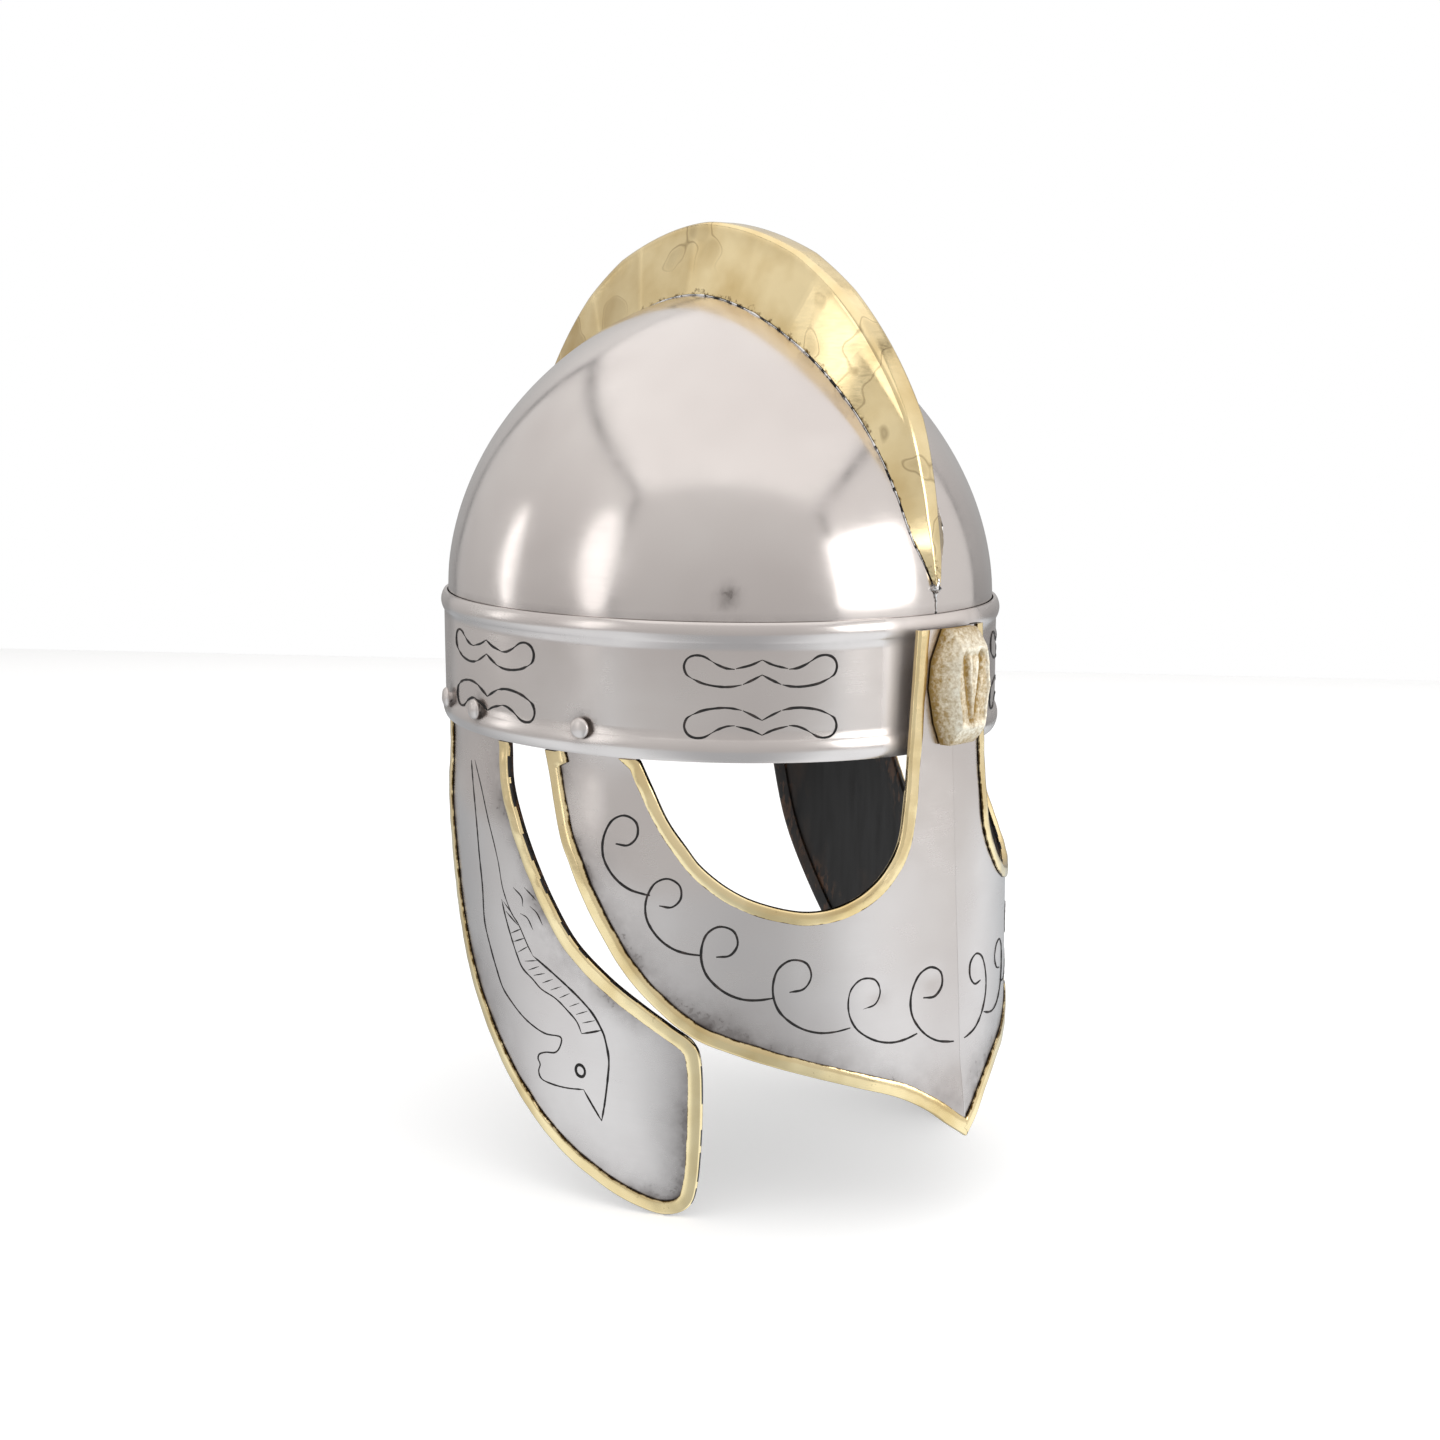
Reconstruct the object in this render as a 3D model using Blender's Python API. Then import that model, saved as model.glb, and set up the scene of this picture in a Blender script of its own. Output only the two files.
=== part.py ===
"""Steel helmet: a raised bowl in a brow band, with a brass crest, a face mask and two cheek plates.

Metres, +Z up. The origin is the middle of the rim, level with the brow band's lower edge.
The face looks along -Y and the wearer's left is +X.
"""
from math import ceil, cos, degrees, hypot, pi, radians, sin, sqrt

import bmesh
import bpy
from mathutils import Vector
from mathutils.geometry import delaunay_2d_cdt

# Rim, bowl and band
RIM_LENGTH = 0.232
RIM_WIDTH = 0.204
BAND_HEIGHT = 0.049
BEAD_BULGE = 0.0012
LOWER_BEAD = 0.0085
UPPER_BEAD = 0.0075
BOWL_RISE = 0.115
BOWL_LAP = 0.027
BOWL_CROWN_POWER = 1.95
BOWL_SHOULDER_POWER = 1.65
SHEET = 0.0012
CLEAR = 0.0003
LAYER_CLEAR = 0.0004
ROUND_PARTS = 48
BOWL_PARTS = 8
PATTERN_STEP = 0.0108
BEAD_PARTS = 3

# Crest
CREST_RISE = 0.0252
CREST_RIM_WIDTH = 0.0126
CREST_FOOT_WIDTH = 0.0245
CREST_SHEET = 0.001
CREST_FRONT_ANGLE = 5.0
CREST_NOSE_ANGLE = 6.0
CREST_PARTS = 38

# Face mask
MASK_DROP = 0.1405
MASK_STAND_OFF = 0.0038
MASK_SIDE_FLARE = 0.0036
KEEL_DEPTH = 0.0024
KEEL_LEAN_RATIO = 0.055
KEEL_TIP = 0.0015
KEEL_HALF_ANGLE = 35.0
KEEL_ROUNDING_RATIO = 0.06
SIDE_TURN = (33.0, 60.0)
NOSE_TOP_SHARE = 0.92

# Cheek plates
CHEEK_DROP = 0.1705
CHEEK_FLARE = 0.0019
CHEEK_TUCK = 0.008
CHEEK_TURN = {"right": 1.2, "left": -0.8}

# Folded edgings
EDGING_WIDTH = 0.0056
EDGING_WALL = 0.0008
EAR_LENGTH = 0.0065
EAR_WIDTH = 0.0095

# Rivets and boss
TAB_HEIGHT = 0.020
RIVET_HEIGHT = 0.0095
RIVET_HEAD = 0.0078
RIVET_SHANK = 0.004
CHEEK_RIVET_ANGLES = {"front": 101.5, "rear": 117.5}
MASK_RIVET_ANGLE = 73.5
BOSS_HEIGHT = 0.043
BOSS_WIDTH = 0.025
BOSS_REACH = 0.0088
BOSS_FACE_SHARE = 0.66
STUD_HEIGHT = 0.013
STUD = 0.005

# Angles run from the front in degrees. Heights are shares: of the band's height above the rim,
# and of the piece's own drop below it.
MASK_EDGE = [
    (0, -1.0), (4.5, -0.957), (9, -0.91), (15, -0.866), (23, -0.83), (33, -0.788), (43.5, -0.744),
    (51.5, -0.706), (58.2, -0.642), (64.8, -0.552), (70.4, -0.437), (73.1, -0.372), (76, -0.29),
    (79, -0.2), (83, 0),
]
EYE_EDGE = [
    (62.3, 0), (59.7, -0.07), (56.5, -0.152), (53, -0.213), (50, -0.262), (45, -0.313),
    (39.5, -0.347), (32, -0.37), (26, -0.362), (20.5, -0.328), (16.2, -0.275), (13.3, -0.207),
    (12, -0.111), (11.1, 0), (9.4, NOSE_TOP_SHARE),
]
CHEEK_EDGE = [
    (92, 0), (91, -0.084), (88, -0.163), (84, -0.253), (79.5, -0.336), (74.5, -0.411),
    (67.5, -0.476), (61, -0.524), (54.7, -0.568), (50.6, -0.6), (49.1, -0.65), (49.1, -0.78),
    (50.2, -0.92), (52.2, -0.977), (57, -1.0), (63, -0.99), (70, -0.963), (80, -0.905),
    (90, -0.82), (99.5, -0.713), (108.5, -0.575), (116, -0.395), (120, -0.195), (122.5, 0),
]
# Crest sections: angle up from the front, then shares of its rise, rim width and foot width
CREST_SECTIONS = [
    (5, 0.05, 0.2, 0.08), (9, 0.08, 0.33, 0.36), (13, 0.11, 0.42, 0.64), (17, 0.15, 0.5, 0.75),
    (25, 0.3, 0.65, 0.82), (34, 0.51, 0.8, 0.86), (47, 0.71, 0.92, 0.92), (59, 0.9, 1.0, 0.96),
    (69, 1.0, 1.0, 1.0), (90, 1.0, 1.0, 1.0),
]
# Boss outline, one half: shares of its half width and of its height
BOSS_OUTLINE = [(0, 0), (0.56, 0.02), (0.8, 0.2), (1.0, 0.5), (0.93, 0.72), (0.56, 0.98), (0, 1)]

HALF_LENGTH = RIM_LENGTH / 2
HALF_WIDTH = RIM_WIDTH / 2
MEAN_RADIUS = (HALF_LENGTH + HALF_WIDTH) / 2
BAND_FACE = -BEAD_BULGE
TAB_FACE = BAND_FACE - SHEET - LAYER_CLEAR
FINISHES = {
    "steel": ((0.56, 0.54, 0.53), 0.25),
    "rivet_steel": ((0.60, 0.58, 0.57), 0.3),
    "brass": ((0.78, 0.60, 0.30), 0.25),
    "cast_brass": ((0.55, 0.43, 0.22), 0.5),
}
SIDES = {"right": -1, "left": 1}


def ramp(start, end, value):
    """Smooth step from 0 at start to 1 at end."""
    share = min(max((value - start) / (end - start), 0.0), 1.0)
    return share * share * (3 - 2 * share)


def wall_point(angle, height, out):
    """Point on the upright oval wall, moved outward from the band's beads by out."""
    turn = radians(angle)
    return Vector(((HALF_WIDTH + out) * sin(turn), -(HALF_LENGTH + out) * cos(turn), height))


def wall_normal(angle):
    """Outward direction of the oval wall."""
    turn = radians(angle)
    return Vector((sin(turn) / HALF_WIDTH, -cos(turn) / HALF_LENGTH, 0)).normalized()


def mask_point(angle, height, lift):
    """Point lift above the mask's outer face: a keeled nose in front, arms inside the band."""
    below = max(0.0, -height)
    side = TAB_FACE + MASK_SIDE_FLARE * ramp(0, 0.36 * MASK_DROP, below)
    turned = ramp(*SIDE_TURN, abs(angle))
    point = wall_point(angle, height, MASK_STAND_OFF * (1 - turned) + side * turned + lift)
    near_keel = 1 - abs(angle) / KEEL_HALF_ANGLE
    share = near_keel + sqrt(near_keel ** 2 + KEEL_ROUNDING_RATIO)
    share /= 1 + sqrt(1 + KEEL_ROUNDING_RATIO)
    tip = KEEL_TIP * ramp(0.78 * MASK_DROP, 0.97 * MASK_DROP, below)
    point.y -= share * (KEEL_DEPTH + KEEL_LEAN_RATIO * below + tip)
    return point


def cheek_point(angle, height, lift):
    """Point lift above a cheek plate's outer face, which leaves the band and tucks in below."""
    share = max(0.0, -height) / CHEEK_DROP
    out = TAB_FACE + CHEEK_FLARE * ramp(0, 0.2, share) - CHEEK_TUCK * share ** 2.5
    return wall_point(angle, height, out + lift)


def bowl_radius_share(rise):
    """Share of the bowl's plan size left at a share of its rise."""
    return max(0.0, 1 - rise ** BOWL_CROWN_POWER) ** (1 / BOWL_SHOULDER_POWER)


def bowl_reach(angle, side, lift):
    """Distance from the bowl's centre to its face plus lift, in the upright plane at x = side."""
    near, far = 0.3 * MEAN_RADIUS, 1.5 * (MEAN_RADIUS + BOWL_RISE)
    half_width, half_length = HALF_WIDTH + TAB_FACE + lift, HALF_LENGTH + TAB_FACE + lift
    for _ in range(40):
        reach = (near + far) / 2
        rise = reach * sin(angle) / (BOWL_RISE + lift)
        plan = hypot(side / half_width, reach * cos(angle) / half_length)
        inside = rise < 1 and plan < bowl_radius_share(max(rise, 0.0))
        near, far = (reach, far) if inside else (near, reach)
    return near


def pattern(points, drop):
    """Flat pattern of an outline: arc length along the wall and height."""
    flat = []
    for angle, share in points:
        height = share * (BAND_HEIGHT if share > 0 else drop)
        flat.append(Vector((radians(angle) * MEAN_RADIUS, height)))
    return flat


def unroll(point):
    """Angle and height of a point of the flat pattern."""
    return degrees(point.x / MEAN_RADIUS), point.y


def curve_through(points):
    """Smooth line through the points, about one point every pattern step."""
    line = []
    last = len(points) - 1
    for index in range(last):
        a, b = points[index], points[index + 1]
        before = points[index - 1] if index else a + (a - b)
        after = points[index + 2] if index + 2 <= last else b + (b - a)
        count = max(1, ceil((b - a).length / PATTERN_STEP))
        for part in range(count):
            t = part / count
            line.append(0.5 * (2 * a + (b - before) * t + (2 * before - 5 * a + 4 * b - after) * t * t
                               + (3 * a - before - 3 * b + after) * t ** 3))
    return line + [points[-1]]


def side_steps(line, first=None, last=None):
    """Mitred step to the left at each point of a line, for a distance of one."""
    lefts = []
    for a, b in zip(line[:-1], line[1:]):
        along = (b - a).normalized()
        lefts.append(Vector((-along.y, along.x)))
    steps = []
    for index in range(len(line)):
        before = lefts[max(index - 1, 0)]
        after = lefts[min(index, len(lefts) - 1)]
        way = (before + after).normalized()
        if index == 0 and first:
            way = Vector(first)
        if index == len(line) - 1 and last:
            way = Vector(last)
        steps.append(way / way.dot(before if index else after))
    return steps


def inset_line(line, distance, first=None, last=None):
    """The line moved to its left."""
    return [point + step * distance for point, step in zip(line, side_steps(line, first, last))]


def inside(point, ring):
    """Whether a flat point lies inside a closed ring."""
    odd = False
    for a, b in zip(ring, ring[1:] + ring[:1]):
        if (a.y > point.y) != (b.y > point.y):
            if point.x < a.x + (point.y - a.y) / (b.y - a.y) * (b.x - a.x):
                odd = not odd
    return odd


def even_ring(ring):
    """The same closed ring with its long straight sides divided."""
    result = []
    for a, b in zip(ring, ring[1:] + ring[:1]):
        count = max(1, round((b - a).length / PATTERN_STEP))
        result += [a.lerp(b, part / count) for part in range(count)]
    return result


def circle(centre, radius, parts=12):
    """Flat ring of points round a centre."""
    return [centre + radius * Vector((cos(2 * pi * k / parts), sin(2 * pi * k / parts)))
            for k in range(parts)]


def make_object(name, finish, bm):
    """Object with a material of its own from a finished bmesh."""
    bmesh.ops.recalc_face_normals(bm, faces=bm.faces)
    mesh = bpy.data.meshes.new(name)
    bm.to_mesh(mesh)
    bm.free()
    for face in mesh.polygons:
        face.use_smooth = True
    mesh.set_sharp_from_angle(angle=radians(35))
    material = bpy.data.materials.new(name)
    material.use_nodes = True
    colour, roughness = FINISHES[finish]
    shader = material.node_tree.nodes["Principled BSDF"]
    shader.inputs["Base Color"].default_value = (*colour, 1)
    shader.inputs["Metallic"].default_value = 1
    shader.inputs["Roughness"].default_value = roughness
    mesh.materials.append(material)
    result = bpy.data.objects.new(name, mesh)
    bpy.context.scene.collection.objects.link(result)
    return result


def loft(rings, loop=False, start=None, end=None, caps=None):
    """Skin through rings of points, closed as a loop, by poles or by flat caps of ring corners."""
    bm = bmesh.new()
    rows = [[bm.verts.new(point) for point in ring] for ring in rings]
    pairs = list(zip(rows[:-1], rows[1:]))
    if loop:
        pairs.append((rows[-1], rows[0]))
    for row, following in pairs:
        for k in range(len(row)):
            after = (k + 1) % len(row)
            bm.faces.new((row[k], row[after], following[after], following[k]))
    if loop:
        return bm, rows
    for row, pole in ((rows[0], start), (rows[-1], end)):
        if pole is not None:
            top = bm.verts.new(pole)
            for k in range(len(row)):
                bm.faces.new((row[k], row[(k + 1) % len(row)], top))
            continue
        for corners in ([range(len(row))] if caps is None else caps):
            bm.faces.new([row[k] for k in corners])
    return bm, rows


def cut(target, tools):
    """Cut closed tool bodies out of an object, or join one to it, for good."""
    for tool, operation in tools:
        step = target.modifiers.new("cut", "BOOLEAN")
        step.solver = "EXACT"
        step.operation = operation
        step.object = tool
        bpy.context.view_layer.update()
        graph = bpy.context.evaluated_depsgraph_get()
        result = bpy.data.meshes.new_from_object(target.evaluated_get(graph))
        target.modifiers.remove(step)
        old = target.data
        target.data = result
        bpy.data.meshes.remove(old)
        bpy.data.objects.remove(tool)


def pin(radius, start, end, parts=16):
    """Plain round pin between two points, for a hole or a stud."""
    axis = (end - start).normalized()
    frame = axis.to_track_quat("Z", "Y").to_matrix()
    ring = [radius * (frame @ Vector((cos(2 * pi * k / parts), sin(2 * pi * k / parts), 0)))
            for k in range(parts)]
    bm, _ = loft([[start + spoke for spoke in ring], [end + spoke for spoke in ring]])
    return make_object("pin", "steel", bm)


def skull():
    """Raised bowl: its straight lap stands inside the band, its dome rises above it."""
    angles = [360 * k / ROUND_PARTS for k in range(ROUND_PARTS)]
    rises = [sin(pi / 2 * k / BOWL_PARTS) for k in range(BOWL_PARTS)]

    def dome_ring(rise, depth):
        share = bowl_radius_share(rise)
        ring = []
        for angle in angles:
            turn = radians(angle)
            ring.append(Vector(((HALF_WIDTH + TAB_FACE - depth) * share * sin(turn),
                                -(HALF_LENGTH + TAB_FACE - depth) * share * cos(turn),
                                BAND_HEIGHT + (BOWL_RISE - depth) * rise)))
        return ring

    def lap_ring(depth):
        return [wall_point(angle, BAND_HEIGHT - BOWL_LAP, TAB_FACE - depth) for angle in angles]

    outer = [lap_ring(0)] + [dome_ring(rise, 0) for rise in rises]
    inner = [lap_ring(SHEET)] + [dome_ring(rise, SHEET) for rise in rises]
    bm, _ = loft(inner[::-1] + outer,
                 start=(0, 0, BAND_HEIGHT + BOWL_RISE - SHEET), end=(0, 0, BAND_HEIGHT + BOWL_RISE))
    return make_object("skull", "steel", bm)


def band_profile():
    """Section of the band: out from the beads and height, a rolled bead along each edge."""
    outer = []
    for start, width in ((0, LOWER_BEAD), (BAND_HEIGHT - UPPER_BEAD, UPPER_BEAD)):
        for k in range(BEAD_PARTS + 1):
            share = k / BEAD_PARTS
            outer.append((BAND_FACE + BEAD_BULGE * sin(pi * share), start + width * share))
    return outer + [(out - SHEET, height) for out, height in reversed(outer)]


def brow_band():
    """Rolled band round the rim, drilled for its rivets and for the boss's stud."""
    profile = band_profile()
    rings = []
    for k in range(ROUND_PARTS):
        angle = 360 * k / ROUND_PARTS
        rings.append([wall_point(angle, height, out) for out, height in profile])
    bm, _ = loft(rings, loop=True)
    band = make_object("brow_band", "steel", bm)
    tools = []
    for label, side in SIDES.items():
        cheeks = [angle + CHEEK_TURN[label] for angle in CHEEK_RIVET_ANGLES.values()]
        for angle in (MASK_RIVET_ANGLE, *cheeks):
            centre = wall_point(side * angle, RIVET_HEIGHT, BAND_FACE)
            reach = 4 * SHEET * wall_normal(side * angle)
            tools.append((pin(RIVET_SHANK / 2 + CLEAR, centre - reach, centre + reach), "DIFFERENCE"))
    centre = wall_point(0, STUD_HEIGHT, BAND_FACE)
    reach = Vector((0, 4 * SHEET, 0))
    tools.append((pin(STUD / 2 + CLEAR, centre - reach, centre + reach), "DIFFERENCE"))
    cut(band, tools)
    return band


def crest_section(angle, shares, inward):
    """Arch of the crest at an angle: its foot on the bowl, its rim above, moved inward by a sheet."""
    rise, rim, foot = shares
    turn = radians(angle)
    out = Vector((0, -cos(turn), sin(turn)))
    centre = Vector((0, 0, BAND_HEIGHT))
    half_foot = foot * CREST_FOOT_WIDTH / 2 - inward
    half_rim = rim * CREST_RIM_WIDTH / 2 - inward
    top = bowl_reach(turn, 0, CLEAR) + rise * CREST_RISE - inward
    foot_reach = bowl_reach(turn, half_foot, CLEAR)
    shoulder = top - 0.12 * (top - foot_reach)
    arch = [(half_foot, foot_reach), (half_rim, shoulder), (0.75 * half_rim, top)]
    right = [centre + out * reach + Vector((half, 0, 0)) for half, reach in arch]
    left = [Vector((-point.x, point.y, point.z)) for point in reversed(right)]
    return right + left


def crest_shares(angle):
    """Rise, rim and foot shares of the crest at an angle, the same before and behind its top."""
    angle = min(angle, 180 - angle)
    for low, high in zip(CREST_SECTIONS[:-1], CREST_SECTIONS[1:]):
        if angle <= high[0]:
            t = (angle - low[0]) / (high[0] - low[0])
            return [a + (b - a) * t for a, b in zip(low[1:], high[1:])]
    return CREST_SECTIONS[-1][1:]


def crest():
    """Hollow sheet crest, open toward the bowl and closed to a nose at each end."""
    first, last = CREST_FRONT_ANGLE, 180 - CREST_FRONT_ANGLE
    outer, inner = [], []
    for k in range(CREST_PARTS + 1):
        angle = first + (last - first) * k / CREST_PARTS
        outer.append(crest_section(angle, crest_shares(angle), 0))
        angle = min(max(angle, first + CREST_NOSE_ANGLE), last - CREST_NOSE_ANGLE)
        angle += (k - CREST_PARTS / 2) * 0.01
        inner.append(crest_section(angle, crest_shares(angle), CREST_SHEET))
    rings = [front + back[::-1] for front, back in zip(outer, inner)]
    bm, rows = loft(rings, caps=())
    half = len(outer[0])
    for row in (rows[0], rows[-1]):
        bm.faces.new(row[:half])
        bm.faces.new(row[half:])
        bm.faces.new((row[0], row[half - 1], row[half], row[-1]))
    bmesh.ops.triangulate(bm, faces=bm.faces)
    return make_object("crest", "brass", bm)


def sheet_solid(outline, surface, holes, seams):
    """Bent sheet from a flat outline: an outer and an inner skin, closed along every edge."""
    outline = even_ring(outline)
    points, edges = [], []
    for ring in (outline, *holes):
        start = len(points)
        points += ring
        edges += [(start + k, start + (k + 1) % len(ring)) for k in range(len(ring))]
    for line in seams:
        start = len(points)
        points += line
        edges += [(start + k, start + k + 1) for k in range(len(line) - 1)]
    points += grid_points(outline, holes, seams)
    spots, _, faces, _, _, _ = delaunay_2d_cdt(points, edges, [], 0, 1e-7)
    kept = []
    for face in faces:
        middle = sum((spots[k] for k in face), Vector((0, 0))) / 3
        if inside(middle, outline) and not any(inside(middle, ring) for ring in holes):
            kept.append(face)
    bm = bmesh.new()
    outer, inner = {}, {}
    for k in sorted({k for face in kept for k in face}):
        outer[k] = bm.verts.new(surface(*unroll(spots[k]), 0))
        inner[k] = bm.verts.new(surface(*unroll(spots[k]), -SHEET))
    count = {}
    for face in kept:
        bm.faces.new([outer[k] for k in face])
        bm.faces.new([inner[k] for k in reversed(face)])
        for a, b in zip(face, face[1:] + face[:1]):
            count[(a, b)] = count.get((a, b), 0) + 1
    for a, b in count:
        if (b, a) not in count:
            bm.faces.new((outer[b], outer[a], inner[a], inner[b]))
    return bm


def grid_points(outline, holes, seams):
    """Even rows of points inside an outline, clear of its edge, its holes and its seams."""
    spacing = 1.3 * PATTERN_STEP
    fixed = [point for line in (outline, *holes, *seams) for point in line]
    low = Vector((min(p.x for p in outline), min(p.y for p in outline)))
    high = Vector((max(p.x for p in outline), max(p.y for p in outline)))
    points = []
    for row in range(int((high.y - low.y) / spacing) + 1):
        for column in range(int((high.x - low.x) / spacing) + 1):
            spot = low + spacing * Vector((column + 0.5 * (row % 2) + 0.25, row + 0.4))
            near = min((spot - other).length for other in fixed)
            blocked = any(inside(spot, ring) for ring in holes)
            if near > 0.55 * spacing and inside(spot, outline) and not blocked:
                points.append(spot)
    return points


def mirrored_surface(surface, side, turn=0):
    """The same surface for a piece on the given side, turned back round the rim."""
    def place(angle, height, lift):
        point = surface(angle + turn, height, lift)
        return Vector((side * point.x, point.y, point.z))
    return place


def hold_back():
    """How far the sheet's edge lies inside the edging's outer line."""
    return EDGING_WALL + CLEAR


def mask_lines():
    """Outer lines of the mask's two edgings on one side, tip to arm and arm to nose."""
    edge = curve_through(pattern(MASK_EDGE, MASK_DROP))
    eye = curve_through(pattern(EYE_EDGE, MASK_DROP))
    return edge, eye


def face_mask():
    """One steel sheet: nose, cheeks below the eyes and the arms that go up inside the band."""
    edge, eye = mask_lines()
    lower = inset_line(edge, hold_back(), first=(0, 1), last=(-1, 0))
    lower.append(Vector((lower[-1].x, TAB_HEIGHT)))
    upper = inset_line(eye, hold_back(), first=(1, 0), last=(-1, 0))
    upper.insert(0, Vector((upper[0].x, TAB_HEIGHT)))
    half = lower + upper
    top = Vector((0, half[-1].y))
    other = [Vector((-point.x, point.y)) for point in reversed(half[1:])]
    outline = half + [top] + other
    rows = ceil((top - half[0]).length / PATTERN_STEP)
    keel = [half[0].lerp(top, k / rows) for k in range(1, rows)]
    holes = [circle(Vector((0, STUD_HEIGHT)), STUD / 2 + CLEAR)]
    keel = [half[0]] + [point for point in keel if not inside(point, holes[0])] + [top]
    seams = [keel]
    for side in SIDES.values():
        for line, first in ((edge, (0, 1)), (eye, (1, 0))):
            seam = inset_line(line, EDGING_WIDTH, first=first, last=(-1, 0))
            seams.append([Vector((side * point.x, point.y)) for point in seam])
        centre = Vector((side * radians(MASK_RIVET_ANGLE) * MEAN_RADIUS, RIVET_HEIGHT))
        holes.append(circle(centre, RIVET_SHANK / 2 + CLEAR))
    return make_object("face_mask", "steel", sheet_solid(outline, mask_point, holes, seams))


def cheek_plate(name, side, turn):
    """Steel cheek plate with a straight tab inside the band."""
    edge = curve_through(pattern(CHEEK_EDGE, CHEEK_DROP))
    outline = inset_line(edge, hold_back(), first=(1, 0), last=(-1, 0))
    outline += [Vector((outline[-1].x, TAB_HEIGHT)), Vector((outline[0].x, TAB_HEIGHT))]
    holes = []
    for angle in CHEEK_RIVET_ANGLES.values():
        centre = Vector((radians(angle) * MEAN_RADIUS, RIVET_HEIGHT))
        holes.append(circle(centre, RIVET_SHANK / 2 + CLEAR))
    surface = mirrored_surface(cheek_point, side, turn)
    seam = inset_line(edge, EDGING_WIDTH, first=(1, 0), last=(-1, 0))
    return make_object(name, "steel", sheet_solid(outline, surface, holes, [seam]))


def edging(name, line, surface, first, last, ear=0):
    """Brass strip folded over a sheet's edge: a channel swept along its outer line."""
    steps = side_steps(line, first, last)
    top, low = CLEAR + EDGING_WALL, -SHEET - CLEAR - EDGING_WALL
    rings = []
    for k, (point, step) in enumerate(zip(line, steps)):
        wide = EAR_WIDTH if k >= len(line) - ear else EDGING_WIDTH
        section = [(0, low), (0, top), (wide, top), (wide, CLEAR), (EDGING_WALL, CLEAR),
                   (EDGING_WALL, -SHEET - CLEAR), (EDGING_WIDTH, -SHEET - CLEAR), (EDGING_WIDTH, low)]
        rings.append([surface(*unroll(point + step * across), lift) for across, lift in section])
    bm, _ = loft(rings, caps=[(0, 1, 4, 5), (1, 2, 3, 4), (0, 5, 6, 7)])
    return make_object(name, "brass", bm)


def mask_edging(name, side):
    """Edging of the mask's lower edge, ending in a small pinned ear below the band."""
    edge, _ = mask_lines()
    edge[0] = Vector((CLEAR / 2, edge[0].y))
    end = Vector((edge[-1].x, -2 * CLEAR))
    body = [point for point in edge if point.y < -EAR_LENGTH - 4 * CLEAR]
    foot = end.lerp(body[-1], (EAR_LENGTH + end.y) / (end.y - body[-1].y))
    below_foot = end.lerp(body[-1], (EAR_LENGTH + CLEAR + end.y) / (end.y - body[-1].y))
    edge = body + [below_foot, foot, end]
    surface = mirrored_surface(mask_point, side)
    return edging(name, edge, surface, (0, 1), (-1, 0), ear=2)


def eye_edging(name, side):
    """Edging of an eye opening, from below the band's side to the top of the nose."""
    _, eye = mask_lines()
    eye[0] = Vector((eye[0].x, -2 * CLEAR))
    eye[-1] = Vector((eye[-1].x, eye[-1].y + CLEAR))
    surface = mirrored_surface(mask_point, side)
    return edging(name, eye, surface, (1, 0), (-1, 0))


def cheek_edging(name, side, turn):
    """Edging round a cheek plate, open where the plate goes up inside the band."""
    edge = curve_through(pattern(CHEEK_EDGE, CHEEK_DROP))
    edge[0] = Vector((edge[0].x, -2 * CLEAR))
    edge[-1] = Vector((edge[-1].x, -2 * CLEAR))
    surface = mirrored_surface(cheek_point, side, turn)
    return edging(name, edge, surface, (1, 0), (-1, 0))


def turned(name, finish, profile, seat, axis, parts=10):
    """Body turned about an axis from a profile of radius and distance along the axis."""
    frame = axis.to_track_quat("Z", "Y").to_matrix()
    rings = []
    for radius, along in profile[1:-1]:
        rings.append([seat + frame @ Vector((radius * cos(2 * pi * k / parts),
                                             radius * sin(2 * pi * k / parts), along))
                      for k in range(parts)])
    bm, _ = loft(rings, start=seat + axis * profile[0][1], end=seat + axis * profile[-1][1])
    return make_object(name, finish, bm)


def rivet(name, angle):
    """Round-head rivet through the band and the sheet behind it, with a flat tail inside."""
    head, shank = RIVET_HEAD / 2, RIVET_SHANK / 2
    seat = CLEAR
    tail = TAB_FACE - SHEET - CLEAR - seat
    profile = [(0, tail - 0.2 * head), (0.65 * head, tail - 0.2 * head), (0.75 * head, tail),
               (shank, tail), (shank, 0), (head, 0), (0.94 * head, 0.2 * head),
               (0.6 * head, 0.45 * head), (0, 0.55 * head)]
    place = wall_point(angle, RIVET_HEIGHT, seat)
    return turned(name, "rivet_steel", profile, place, wall_normal(angle))


def boss_ring(scale, lift, forward=None):
    """Outline of the boss at a scale, on the nose or in the upright plane at forward."""
    middle = BAND_HEIGHT / 2
    half = [(across, share) for across, share in BOSS_OUTLINE]
    whole = half + [(-across, share) for across, share in half[-2:0:-1]]
    ring = []
    for across, share in whole:
        offset = scale * across * BOSS_WIDTH / 2
        height = middle + scale * (share - 0.5) * BOSS_HEIGHT
        angle = degrees(offset / HALF_WIDTH)
        point = mask_point(angle, height, lift)
        if forward is not None:
            point.y = forward
        ring.append(point)
    return ring


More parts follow.
